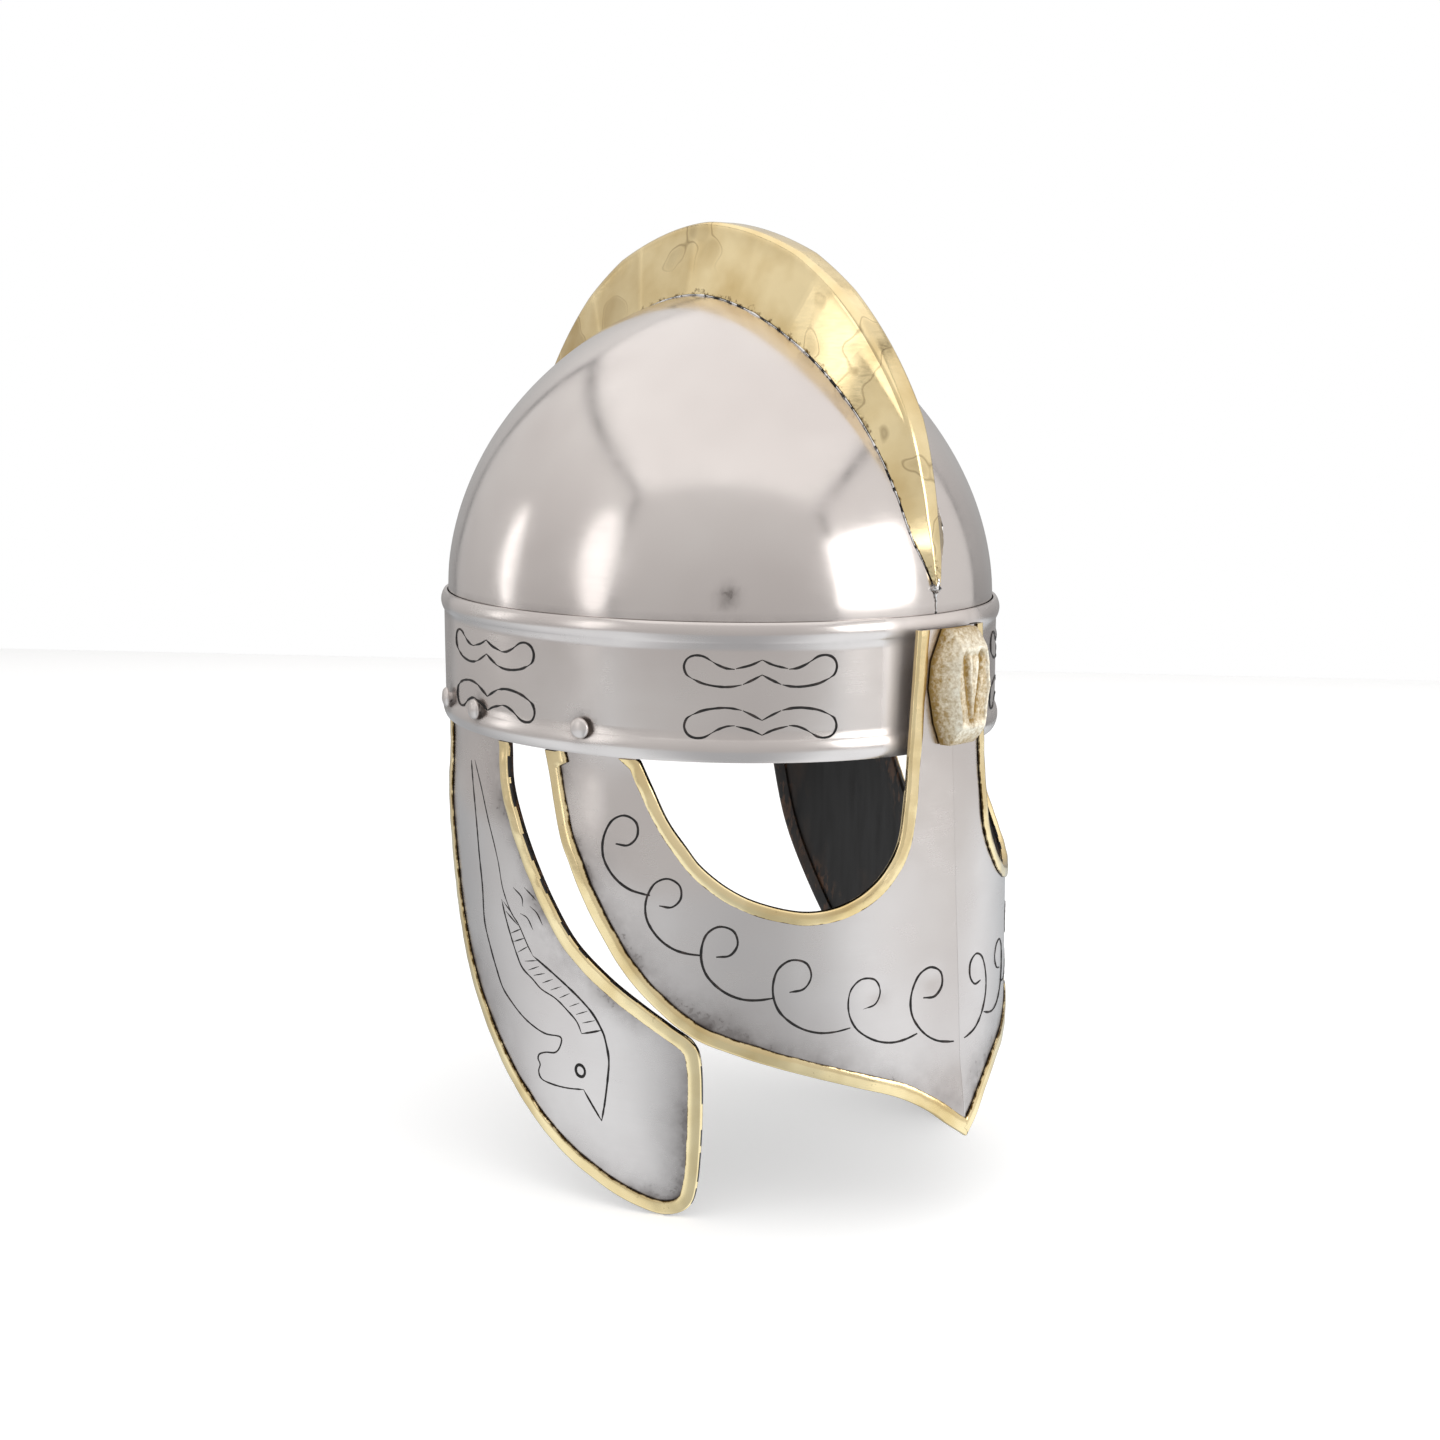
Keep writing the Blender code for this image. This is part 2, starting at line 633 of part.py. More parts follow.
def brow_boss():
    """Cast boss on the nose's top, its back fitted to the keel, with a stud through the band."""
    middle = BAND_HEIGHT / 2
    lift = 2 * CLEAR
    seat = mask_point(0, middle, lift)
    front = seat.y - BOSS_REACH
    hollow = front + 0.1 * BOSS_REACH
    rings = [boss_ring(0.5, lift), boss_ring(1.0, lift), boss_ring(1.0, 0.3 * BOSS_REACH),
             boss_ring(1.15 * BOSS_FACE_SHARE, 0, hollow), boss_ring(BOSS_FACE_SHARE, 0, front),
             boss_ring(0.45 * BOSS_FACE_SHARE, 0, hollow)]
    bm, _ = loft(rings, start=seat, end=Vector((0, hollow, middle)))
    boss = make_object("brow_boss", "cast_brass", bm)
    root = Vector((0, seat.y - 0.3 * BOSS_REACH, STUD_HEIGHT))
    inner = -(HALF_LENGTH + BAND_FACE - SHEET - CLEAR)
    neck = Vector((0, inner + 0.5 * SHEET, STUD_HEIGHT))
    button = Vector((0, inner, STUD_HEIGHT))
    end = Vector((0, inner + SHEET, STUD_HEIGHT))
    cut(boss, [(pin(STUD / 2, root, neck), "UNION"), (pin(0.7 * STUD, button, end), "UNION")])
    return boss


def clear_scene():
    """Remove everything that the scene holds."""
    for item in list(bpy.data.objects):
        bpy.data.objects.remove(item)


def build():
    """Build every piece of the helmet."""
    clear_scene()
    skull()
    brow_band()
    crest()
    face_mask()
    brow_boss()
    for label, side in SIDES.items():
        cheek_plate(f"cheek_plate_{label}", side, CHEEK_TURN[label])
        cheek_edging(f"cheek_edging_{label}", side, CHEEK_TURN[label])
        mask_edging(f"mask_edging_{label}", side)
        eye_edging(f"eye_edging_{label}", side)
        rivet(f"mask_rivet_{label}", side * MASK_RIVET_ANGLE)
        for end, angle in CHEEK_RIVET_ANGLES.items():
            rivet(f"cheek_rivet_{label}_{end}", side * (angle + CHEEK_TURN[label]))


build()
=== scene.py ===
"""Looks of a steel helmet: polished bowl and band, brass crest and edgings, engraved mask and cheek plates.

Metres, +Z up, the face toward -Y. The pieces are fine versions of the CAD nodes, made from the same
sizes. Each group of pieces has an operator in the sidebar's Helmet panel.
"""
from math import ceil, cos, degrees, exp, hypot, pi, radians, sin, sqrt

import bmesh
import bpy
import numpy as np
from bpy.props import FloatProperty, FloatVectorProperty, IntProperty, PointerProperty
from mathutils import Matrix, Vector, noise
from mathutils.geometry import delaunay_2d_cdt
from mathutils.kdtree import KDTree


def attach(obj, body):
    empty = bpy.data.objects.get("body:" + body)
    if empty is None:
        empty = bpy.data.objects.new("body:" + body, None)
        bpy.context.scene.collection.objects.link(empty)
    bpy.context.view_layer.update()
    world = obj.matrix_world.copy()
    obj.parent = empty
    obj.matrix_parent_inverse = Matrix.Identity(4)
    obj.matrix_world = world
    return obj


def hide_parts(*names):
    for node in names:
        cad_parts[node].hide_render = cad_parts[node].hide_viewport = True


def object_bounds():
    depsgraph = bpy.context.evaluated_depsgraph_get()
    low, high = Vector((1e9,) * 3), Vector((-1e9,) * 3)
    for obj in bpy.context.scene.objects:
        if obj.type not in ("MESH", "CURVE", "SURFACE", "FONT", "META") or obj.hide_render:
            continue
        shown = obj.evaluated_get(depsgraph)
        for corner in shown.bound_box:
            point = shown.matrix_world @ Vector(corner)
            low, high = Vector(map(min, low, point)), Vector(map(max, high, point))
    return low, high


bl_info = {
    "name": "Steel helmet",
    "version": (1, 0, 0),
    "blender": (4, 5, 0),
    "location": "View3D > Sidebar > Helmet",
    "description": "Builds the finished pieces of a steel helmet and its studio",
    "category": "Object",
}

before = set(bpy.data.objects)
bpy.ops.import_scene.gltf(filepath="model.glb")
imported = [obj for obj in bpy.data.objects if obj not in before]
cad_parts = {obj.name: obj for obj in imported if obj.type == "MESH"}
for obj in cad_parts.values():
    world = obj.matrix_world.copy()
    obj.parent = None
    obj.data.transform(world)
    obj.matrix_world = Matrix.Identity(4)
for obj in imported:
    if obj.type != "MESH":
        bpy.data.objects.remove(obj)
CAD_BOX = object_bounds()

# Rim, bowl and band
RIM_LENGTH = 0.232
RIM_WIDTH = 0.204
BAND_HEIGHT = 0.049
BEAD_BULGE = 0.0012
LOWER_BEAD = 0.0085
UPPER_BEAD = 0.0075
BOWL_RISE = 0.115
BOWL_LAP = 0.027
BOWL_CROWN_POWER = 1.95
BOWL_SHOULDER_POWER = 1.65
BOWL_SET_BACK = 0.0002
BOWL_SMUDGE = (-0.0698, -0.079, 0.0575)
BOWL_DENT = (-0.024, 0.066)
SHEET = 0.0012
CLEAR = 0.0003
LAYER_CLEAR = 0.0004

# Crest
CREST_RISE = 0.0252
CREST_RIM_WIDTH = 0.0126
CREST_FOOT_WIDTH = 0.0245
CREST_SHEET = 0.001
CREST_FRONT_ANGLE = 5.0
CREASE_ANGLE = 91.3
CREASE_PITCH = 14.2

# Face mask
MASK_DROP = 0.1405
MASK_STAND_OFF = 0.0038
MASK_SIDE_FLARE = 0.0036
KEEL_DEPTH = 0.0024
KEEL_LEAN = 0.055
KEEL_TIP = 0.0015
KEEL_HALF_ANGLE = 35.0
KEEL_ROUNDING = 0.06
SIDE_TURN = (33.0, 60.0)
NOSE_TOP = 0.92

# Cheek plates
CHEEK_DROP = 0.1705
CHEEK_FLARE = 0.0019
CHEEK_TUCK = 0.008
CHEEK_TURN = {"right": 1.2, "left": -0.8}

# Folded edgings
EDGING_WIDTH = 0.0056
EDGING_WALL = 0.0008
EYE_EDGING_FACE = 0.0047
FOLD_RADIUS = 0.0013
EAR_LENGTH = 0.0065
EAR_WIDTH = 0.0095
# Where the paint inside begins on the strip's section, counted in its points
MASK_PAINT_START = 14
CHEEK_PAINT_START = 10

# Rivets and boss
TAB_HEIGHT = 0.020
RIVET_HEIGHT = 0.0095
RIVET_HEAD = 0.0078
CHEEK_RIVET_ANGLES = {"front": 101.5, "rear": 117.5}
MASK_RIVET_ANGLE = 73.5
BOSS_HEIGHT = 0.043
BOSS_WIDTH = 0.025
BOSS_REACH = 0.0088
BOSS_FACE = 0.66

# Outlines: angles from the front in degrees, and shares of the band's height or the piece's drop
MASK_EDGE = [
    (0, -1.0), (4.5, -0.957), (9, -0.91), (15, -0.866), (23, -0.83), (33, -0.788), (43.5, -0.744),
    (51.5, -0.706), (58.2, -0.642), (64.8, -0.552), (70.4, -0.437), (73.1, -0.372), (76, -0.29),
    (79, -0.2), (83, 0),
]
EYE_EDGE = [
    (62.3, 0), (59.7, -0.07), (56.5, -0.152), (53, -0.213), (50, -0.262), (45, -0.313),
    (39.5, -0.347), (32, -0.37), (26, -0.362), (20.5, -0.328), (16.2, -0.275), (13.3, -0.207),
    (12, -0.111), (11.1, 0), (9.4, NOSE_TOP),
]
CHEEK_EDGE = [
    (92, 0), (91, -0.084), (88, -0.163), (84, -0.253), (79.5, -0.336), (74.5, -0.411),
    (67.5, -0.476), (61, -0.524), (54.7, -0.568), (50.6, -0.6), (49.1, -0.65), (49.1, -0.78),
    (50.2, -0.92), (52.2, -0.977), (57, -1.0), (63, -0.99), (70, -0.963), (80, -0.905),
    (90, -0.82), (99.5, -0.713), (108.5, -0.575), (116, -0.395), (120, -0.195), (122.5, 0),
]
# Crest sections: angle up from the front, then shares of its rise, rim width and foot width
CREST_SECTIONS = [
    (5, 0.05, 0.2, 0.08), (9, 0.08, 0.33, 0.36), (13, 0.11, 0.42, 0.64), (17, 0.15, 0.5, 0.75),
    (25, 0.3, 0.65, 0.82), (34, 0.51, 0.8, 0.86), (47, 0.71, 0.92, 0.92), (59, 0.9, 1.0, 0.96),
    (69, 1.0, 1.0, 1.0), (90, 1.0, 1.0, 1.0),
]
BOSS_OUTLINE = [(0, 0), (0.56, 0.02), (0.8, 0.2), (1.0, 0.5), (0.93, 0.72), (0.56, 0.98), (0, 1)]
OUTLINE_STEP = 0.0025

# Band ornament: chiselled strokes of one half figure, in millimetres from its middle
BAND_STROKES = [
    [(0, 4.7), (4, 2.9), (9.2, 1.6)],
    [(9.6, 1.4), (12.5, 1.7), (15.4, 2.8), (17.5, 4.0)],
    [(17.5, 4.0), (20.5, 5.7), (23.6, 6.0), (26.2, 4.8), (27.4, 2.2), (26.6, -0.6), (24.6, -2.1)],
    [(24.6, -2.1), (20.5, -3.8), (15.2, -4.7), (11, -4.7), (7.2, -4.0)],
    [(6.8, -3.9), (3.4, -2.3), (0, -0.5)],
]
BAND_FIGURES = [(31.5, 1), (14.6, -1)]
BAND_TURNS = [38.9, 99.2, 180, -99.2, -38.9]

# Mask scroll: one curl in shares of its size, then middle angle, height, size and turn of each
SCROLL_CURL = [
    (0.04, -0.5), (-0.66, -0.37), (-1.04, 0.24), (-0.83, 0.93), (-0.13, 1.13), (0.49, 0.73),
    (0.77, 0.03), (0.8, -0.73), (0.57, -1.45), (0.08, -2.03), (-0.55, -2.46), (-1.28, -2.7),
    (-2.03, -2.72), (-2.79, -2.6),
]
SCROLLS = [
    (66.0, -0.198, 6.57, 11), (57.4, -0.346, 6.37, 12), (47.2, -0.465, 6.79, 0),
    (34.3, -0.55, 7.1, -3), (21.1, -0.604, 6.67, -8), (8.1, -0.594, 6.87, 12),
]
SCROLL_SHORT_END = (-2.4, -2.69)

# Chisel dents in the mask beside its scroll: angle, share of the drop and depth in metres
MASK_DENTS = [(18.3, -0.586, 0.00035), (6.5, -0.57, 0.0002), (31.5, -0.53, 0.00012)]
DENT_RADIUS = 0.0036

# Cheek engraving, a plain horse head: strokes of plate angle and height in millimetres
HORSE_STROKES = [
    [(106.3, -11.6), (103.6, -28.7), (102.5, -46.5), (101.5, -59), (101.1, -71.7), (99.2, -81.1),
     (97.4, -88.6), (95.6, -95.2), (93, -99.5), (89.4, -103.9), (86.1, -106.5), (82.9, -107.9),
     (79.1, -107.6), (79.2, -111), (80.6, -114.2), (83.2, -115.3), (85.1, -116.9), (85.6, -118.9),
     (85.1, -120.9), (85.7, -124), (84.9, -126.7), (81.8, -127.4), (78.1, -127.2), (74.1, -126.2)],
    [(74.1, -126.2), (72.6, -130.6), (70.3, -137.2)],
    [(70.3, -137.2), (69.3, -129.4), (68.4, -119.9), (68, -112.5), (68.6, -105.4), (69.3, -101.6),
     (71.1, -96.2), (73.6, -91.7), (76.8, -87.4), (80.2, -83.6), (83.2, -80.7), (85.4, -78.8)],
    [(85.4, -78.8), (86.9, -74.9), (89.1, -68.5), (91.5, -64), (93.9, -55.9), (95.2, -46.4),
     (97.4, -35.5), (100.8, -21.4), (104.6, -11)],
    [(73.9, -104.4), (74.9, -100.2), (77.1, -96.5), (79.9, -93), (83.5, -90.8), (85.7, -88),
     (88.6, -84.7), (90.2, -79.8), (91.8, -73.2), (93.4, -65.7), (94.3, -60.6)],
    [(73.9, -104.4), (71.8, -103.2), (69.3, -101.6)],
    [(90.5, -54.6), (88.1, -57.3), (87.8, -60.8)], [(87.3, -53.4), (85.4, -55.4), (83.8, -57.5)],
    [(88.6, -63.8), (86.6, -64.8), (85.1, -68.7)], [(85.8, -60), (83.9, -62), (82.5, -66)],
    [(70.8, -98.4), (73.6, -100.2)], [(72.4, -95.3), (75, -97.4)], [(74.2, -92.8), (76.5, -94.9)],
    [(76.4, -89.9), (78.8, -92.4)], [(78.3, -87.9), (81, -90.2)], [(80.4, -85.9), (83.1, -88.3)],
    [(82.4, -84.4), (85.4, -86.3)], [(84.3, -80.2), (87.8, -81.8)], [(83.9, -82.3), (86.9, -84.9)],
    [(86.6, -75.6), (89.8, -79.2)], [(87.5, -72.8), (91, -75.6)], [(88.4, -69.6), (91.8, -72.7)],
    [(89.4, -68.6), (93, -64.6)], [(90.8, -65.1), (93.7, -61.2)],
]
HORSE_EYE = (74.6, -119.0, 2.3)
# Weights of the eye, of the long strokes in their order, and of the mane's short ones
EYE_WEIGHT = 1.45
LONG_WEIGHTS = (0.8, 1.0, 1.0, 0.55, 0.75, 1.0)
MANE_WEIGHT = 0.62

HALF_LENGTH = RIM_LENGTH / 2
HALF_WIDTH = RIM_WIDTH / 2
MEAN_RADIUS = (HALF_LENGTH + HALF_WIDTH) / 2
BAND_FACE = -BEAD_BULGE
TAB_FACE = BAND_FACE - SHEET - LAYER_CLEAR
SIDES = {"right": -1, "left": 1}
MM = 0.001

# Camera of the photograph, in metres and degrees
CAMERA_TURN = -43.71
CAMERA_RISE = 9.48
CAMERA_DISTANCE = 0.85
CAMERA_AIM = (0.00165, -0.00323)
CAMERA_LENS = 53.59

# Light tent: turn of its front panel from the camera, height and seams in shares of its half side
TENT_TURN = -9.0
TENT_RISE = 1.26
SEAM_SHARE = 0.04

# Lamps: name, shape, azimuth from the camera, elevation, width, height and glow; their distance
LAMPS = [("lamp_left", "ELLIPSE", -60, 14, 0.3, 0.76, 1.05),
         ("lamp_rear", "ELLIPSE", -100, 9, 0.14, 0.56, 1.5),
         ("lamp_right", "RECTANGLE", 55, 15, 0.84, 0.56, 2.2)]
LAMP_DISTANCE = 1.15


def linear(code):
    """Linear colour of an sRGB hex value."""
    parts = [int(code[k:k + 2], 16) / 255 for k in (1, 3, 5)]
    return tuple(p / 12.92 if p <= 0.04045 else ((p + 0.055) / 1.055) ** 2.4 for p in parts)


def ramp(start, end, value):
    """Smooth step from 0 at start to 1 at end."""
    share = min(max((value - start) / (end - start), 0.0), 1.0)
    return share * share * (3 - 2 * share)


def wall_point(angle, height, out):
    """Point on the upright oval wall, moved outward from the band's beads by out."""
    turn = radians(angle)
    return Vector(((HALF_WIDTH + out) * sin(turn), -(HALF_LENGTH + out) * cos(turn), height))


def wall_normal(angle):
    """Outward direction of the oval wall."""
    turn = radians(angle)
    return Vector((sin(turn) / HALF_WIDTH, -cos(turn) / HALF_LENGTH, 0)).normalized()


def hand_wave(angle, height, depth, seed=0.0):
    """Slow unevenness of hand-bent sheet."""
    place = Vector((radians(angle) * MEAN_RADIUS, height, seed)) / 0.034
    return depth * noise.noise(place)


def mask_point(angle, height, lift):
    """Point lift above the mask's outer face: a keeled nose in front, arms inside the band."""
    below = max(0.0, -height)
    side = TAB_FACE + MASK_SIDE_FLARE * ramp(0, 0.36 * MASK_DROP, below)
    turned = ramp(*SIDE_TURN, abs(angle))
    lift += hand_wave(angle, height, 0.00022 * ramp(0, 0.01, below), 3.0)
    for dent_angle, dent_share, depth in MASK_DENTS:
        aside = radians(abs(angle) - dent_angle) * MEAN_RADIUS
        lift -= depth * exp(-(aside ** 2 + (height - dent_share * MASK_DROP) ** 2) / DENT_RADIUS ** 2)
    point = wall_point(angle, height, MASK_STAND_OFF * (1 - turned) + side * turned + lift)
    near_keel = 1 - abs(angle) / KEEL_HALF_ANGLE
    share = near_keel + sqrt(near_keel ** 2 + KEEL_ROUNDING)
    share /= 1 + sqrt(1 + KEEL_ROUNDING)
    tip = KEEL_TIP * ramp(0.78 * MASK_DROP, 0.97 * MASK_DROP, below)
    point.y -= share * (KEEL_DEPTH + KEEL_LEAN * below + tip)
    return point


def cheek_point(angle, height, lift):
    """Point lift above a cheek plate's outer face, which leaves the band and tucks in below."""
    below = max(0.0, -height)
    share = below / CHEEK_DROP
    out = TAB_FACE + CHEEK_FLARE * ramp(0, 0.2, share) - CHEEK_TUCK * share ** 2.5
    out += hand_wave(angle, height, 0.0003 * ramp(0, 0.01, below), 7.0)
    return wall_point(angle, height, out + lift)


def band_point(angle, height, lift):
    """Point lift above the band's flat face."""
    return wall_point(angle, height, BAND_FACE + lift)


def bowl_radius_share(rise):
    """Share of the bowl's plan size left at a share of its rise."""
    return max(0.0, 1 - rise ** BOWL_CROWN_POWER) ** (1 / BOWL_SHOULDER_POWER)


def bowl_reach(angle, side, lift):
    """Distance from the bowl's centre to its face plus lift, in the upright plane at x = side."""
    near, far = 0.3 * MEAN_RADIUS, 1.5 * (MEAN_RADIUS + BOWL_RISE)
    half_width, half_length = HALF_WIDTH + TAB_FACE + lift, HALF_LENGTH + TAB_FACE + lift
    for _ in range(40):
        reach = (near + far) / 2
        rise = reach * sin(angle) / (BOWL_RISE + lift)
        plan = hypot(side / half_width, reach * cos(angle) / half_length)
        inside_bowl = rise < 1 and plan < bowl_radius_share(max(rise, 0.0))
        near, far = (reach, far) if inside_bowl else (near, reach)
    return near


def mirrored_surface(surface, side, turn=0):
    """The same surface for a piece on the given side, turned back round the rim."""
    def place(angle, height, lift):
        point = surface(angle + turn, height, lift)
        return Vector((side * point.x, point.y, point.z))
    return place


def pattern(points, drop):
    """Flat pattern of an outline: arc length along the wall and height."""
    flat = []
    for angle, share in points:
        height = share * (BAND_HEIGHT if share > 0 else drop)
        flat.append(Vector((radians(angle) * MEAN_RADIUS, height)))
    return flat


def unroll(point):
    """Angle and height of a point of the flat pattern."""
    return degrees(point.x / MEAN_RADIUS), point.y


def curve_through(points, step):
    """Smooth line through the points, about one point every step."""
    line = []
    last = len(points) - 1
    for index in range(last):
        a, b = points[index], points[index + 1]
        before = points[index - 1] if index else a + (a - b)
        after = points[index + 2] if index + 2 <= last else b + (b - a)
        count = max(1, ceil((b - a).length / step))
        for part in range(count):
            t = part / count
            line.append(0.5 * (2 * a + (b - before) * t + (2 * before - 5 * a + 4 * b - after) * t * t
                               + (3 * a - before - 3 * b + after) * t ** 3))
    return line + [points[-1]]


def side_steps(line, first=None, last=None):
    """Mitred step to the left at each point of a line, for a distance of one."""
    lefts = []
    for a, b in zip(line[:-1], line[1:]):
        along = (b - a).normalized()
        lefts.append(Vector((-along.y, along.x)))
    steps = []
    for index in range(len(line)):
        before = lefts[max(index - 1, 0)]
        after = lefts[min(index, len(lefts) - 1)]
        way = (before + after).normalized()
        if index == 0 and first:
            way = Vector(first)
        if index == len(line) - 1 and last:
            way = Vector(last)
        steps.append(way / way.dot(before if index else after))
    return steps


def inset_line(line, distance, first=None, last=None):
    """The line moved to its left."""
    return [point + step * distance for point, step in zip(line, side_steps(line, first, last))]


def are_inside(spots, ring):
    """For each flat point, whether it lies inside a closed ring."""
    spots = np.array(spots, float).reshape(-1, 2)
    ends = np.array(ring, float)
    odd = np.zeros(len(spots), bool)
    for a, b in zip(ends, np.roll(ends, -1, axis=0)):
        crosses = (a[1] > spots[:, 1]) != (b[1] > spots[:, 1])
        rise = b[1] - a[1] or 1.0
        odd ^= crosses & (spots[:, 0] < a[0] + (spots[:, 1] - a[1]) / rise * (b[0] - a[0]))
    return odd


def even_line(line, step, closed=False):
    """The same line with its long straight stretches divided."""
    result = []
    ends = line[1:] + line[:1] if closed else line[1:]
    for a, b in zip(line, ends):
        count = max(1, round((b - a).length / step))
        result += [a.lerp(b, part / count) for part in range(count)]
    return result if closed else result + [line[-1]]


def add_node(tree, kind, links=None, **settings):
    """Add a node with its settings, and give its inputs values or other nodes' outputs."""
    node = tree.nodes.new(kind)
    for key, value in settings.items():
        setattr(node, key, value)
    for key, value in (links or {}).items():
        socket = node.inputs[key]
        if isinstance(value, bpy.types.NodeSocket):
            tree.links.new(value, socket)
        else:
            socket.default_value = value
    return node


def new_material(name):
    """Material with its tree, its Principled shader and its object coordinates."""
    material = bpy.data.materials.new(name)
    material.use_nodes = True
    tree = material.node_tree
    shader = tree.nodes["Principled BSDF"]
    place = add_node(tree, "ShaderNodeTexCoord").outputs["Object"]
    return material, tree, shader, place


def stretched_noise(tree, place, size, stretch=(1, 1, 1), detail=3.0, roughness=0.5):
    """Noise whose patches are size metres across, drawn out by stretch."""
    mapping = add_node(tree, "ShaderNodeMapping", {"Vector": place, "Scale": [1 / s for s in stretch]})
    return add_node(tree, "ShaderNodeTexNoise", {
        "Vector": mapping.outputs["Vector"], "Scale": 0.5 / size, "Detail": detail,
        "Roughness": roughness}).outputs["Fac"]


def remap(tree, value, low, high, start=0.0, end=1.0):
    """Value spread from low..high to start..end, held at both ends."""
    return add_node(tree, "ShaderNodeMapRange", {
        "Value": value, "From Min": low, "From Max": high, "To Min": start,
        "To Max": end}).outputs["Result"]


def calc(tree, operation, first, second):
    """Node that combines two values, such as ADD or MULTIPLY."""
    return add_node(tree, "ShaderNodeMath", {0: first, 1: second}, operation=operation).outputs[0]


def stored(tree, label):
    """A number kept on the mesh under this name."""
    return add_node(tree, "ShaderNodeAttribute", attribute_name=label).outputs["Fac"]


def blend_colour(tree, share, first, second):
    """Mix of two colours."""
    return add_node(tree, "ShaderNodeMix", {0: share, 6: first, 7: second}, data_type="RGBA").outputs[2]


def steel_material(name, finish, gloss):
    """Mild steel, rolled, hand raised and polished: a soft mirror with faint wheel lines, warm in
    its broad faces, with brown-black oxide smoked and pitted on beside the edgings. The same smoke
    also darkens the foot of each bead of the band, and paints shade along the bowl's foot above
    the band and on the band beside the nosepiece."""
    material, tree, shader, place = new_material(name)
    patches = stretched_noise(tree, place, 0.03, detail=2.0)
    colour = blend_colour(tree, remap(tree, patches, 0.35, 0.65), (*finish.steel, 1),
                          (*finish.steel_shade, 1))
    # Oxide and painted shade: soft smoke by the stored attribute, which holds painted shade in places, and
    # pits of about 1 mm only where it is high
    grime_and_shade = stored(tree, "grime_and_shade")
    cloud = remap(tree, stretched_noise(tree, place, 0.006, detail=4.0, roughness=0.6), 0.3, 0.7, 0.25, 1.0)
    smoke_and_shade = calc(tree, "MULTIPLY", calc(tree, "MULTIPLY", grime_and_shade, cloud), finish.smoke_and_shade_share)
    pits = stretched_noise(tree, place, 0.0009, detail=4.0, roughness=0.7)
    level = calc(tree, "MULTIPLY", calc(tree, "SUBTRACT", 1.0, grime_and_shade), 0.5)
    pitted = remap(tree, calc(tree, "SUBTRACT", calc(tree, "MULTIPLY", pits, cloud), level), 0.1, 0.24)
    pitted = calc(tree, "MULTIPLY", pitted, remap(tree, grime_and_shade, 0.12, 0.35))
    dark = calc(tree, "MAXIMUM", smoke_and_shade, calc(tree, "MULTIPLY", pitted, 0.6))
    colour = blend_colour(tree, dark, colour, (*finish.oxide_and_shade, 1))
    tree.links.new(colour, shader.inputs["Base Color"])
    shader.inputs["Metallic"].default_value = 1.0
    # Wheel lines run round the helmet, drawn wider than real so that they show; haze of 8 mm
    lines = stretched_noise(tree, place, 0.0003, (40, 40, 1), detail=2.0)
    haze = stretched_noise(tree, place, 0.008, detail=3.0)
    spread = calc(tree, "ADD", remap(tree, lines, 0.3, 0.7, gloss - 0.015, gloss + 0.015),
                  remap(tree, haze, 0.35, 0.7, -0.02, 0.05))
    # Duller where the polishing wheel can't reach, by the dull attribute
    dull = stored(tree, "dull")
    spread = calc(tree, "ADD", spread, calc(tree, "MULTIPLY", dull, 0.38))
    tree.links.new(calc(tree, "ADD", spread, calc(tree, "MULTIPLY", dark, 0.2)),
                   shader.inputs["Roughness"])
    bump = add_node(tree, "ShaderNodeBump", {"Height": lines, "Strength": 0.012, "Distance": 0.0001})
    deep = add_node(tree, "ShaderNodeBump", {
        "Height": pitted, "Strength": 0.04, "Distance": 0.0002, "Normal": bump.outputs[0]}, invert=True)
    tree.links.new(deep.outputs[0], shader.inputs["Normal"])
    return material


def paint_material(name, finish):
    """Black brushing paint inside the helmet: half matt, with brush drag and brown rubbed places."""
    material, tree, shader, place = new_material(name)
    drag = stretched_noise(tree, place, 0.0015, (1, 1, 9), detail=4.0)
    paler = remap(tree, stretched_noise(tree, place, 0.012, (1, 1, 3), 5.0, 0.6), 0.56, 0.72)
    # Brown streaks of about 1.5 mm where the paint is worn beside the edgings
    grime_and_shade = stored(tree, "grime_and_shade")
    streaks = remap(tree, stretched_noise(tree, place, 0.0013, (1, 1, 3), 5.0, 0.65), 0.5, 0.6)
    worn = calc(tree, "MULTIPLY", streaks, remap(tree, grime_and_shade, 0.25, 0.7))
    colour = blend_colour(tree, calc(tree, "MAXIMUM", calc(tree, "MULTIPLY", paler, 0.28), worn),
                          (*finish.paint, 1), (*finish.rubbed_paint, 1))
    tree.links.new(colour, shader.inputs["Base Color"])
    tree.links.new(remap(tree, drag, 0.3, 0.7, 0.42, 0.6), shader.inputs["Roughness"])
    bump = add_node(tree, "ShaderNodeBump", {"Height": drag, "Strength": 0.3, "Distance": 0.0002})
    tree.links.new(bump.outputs[0], shader.inputs["Normal"])
    return material


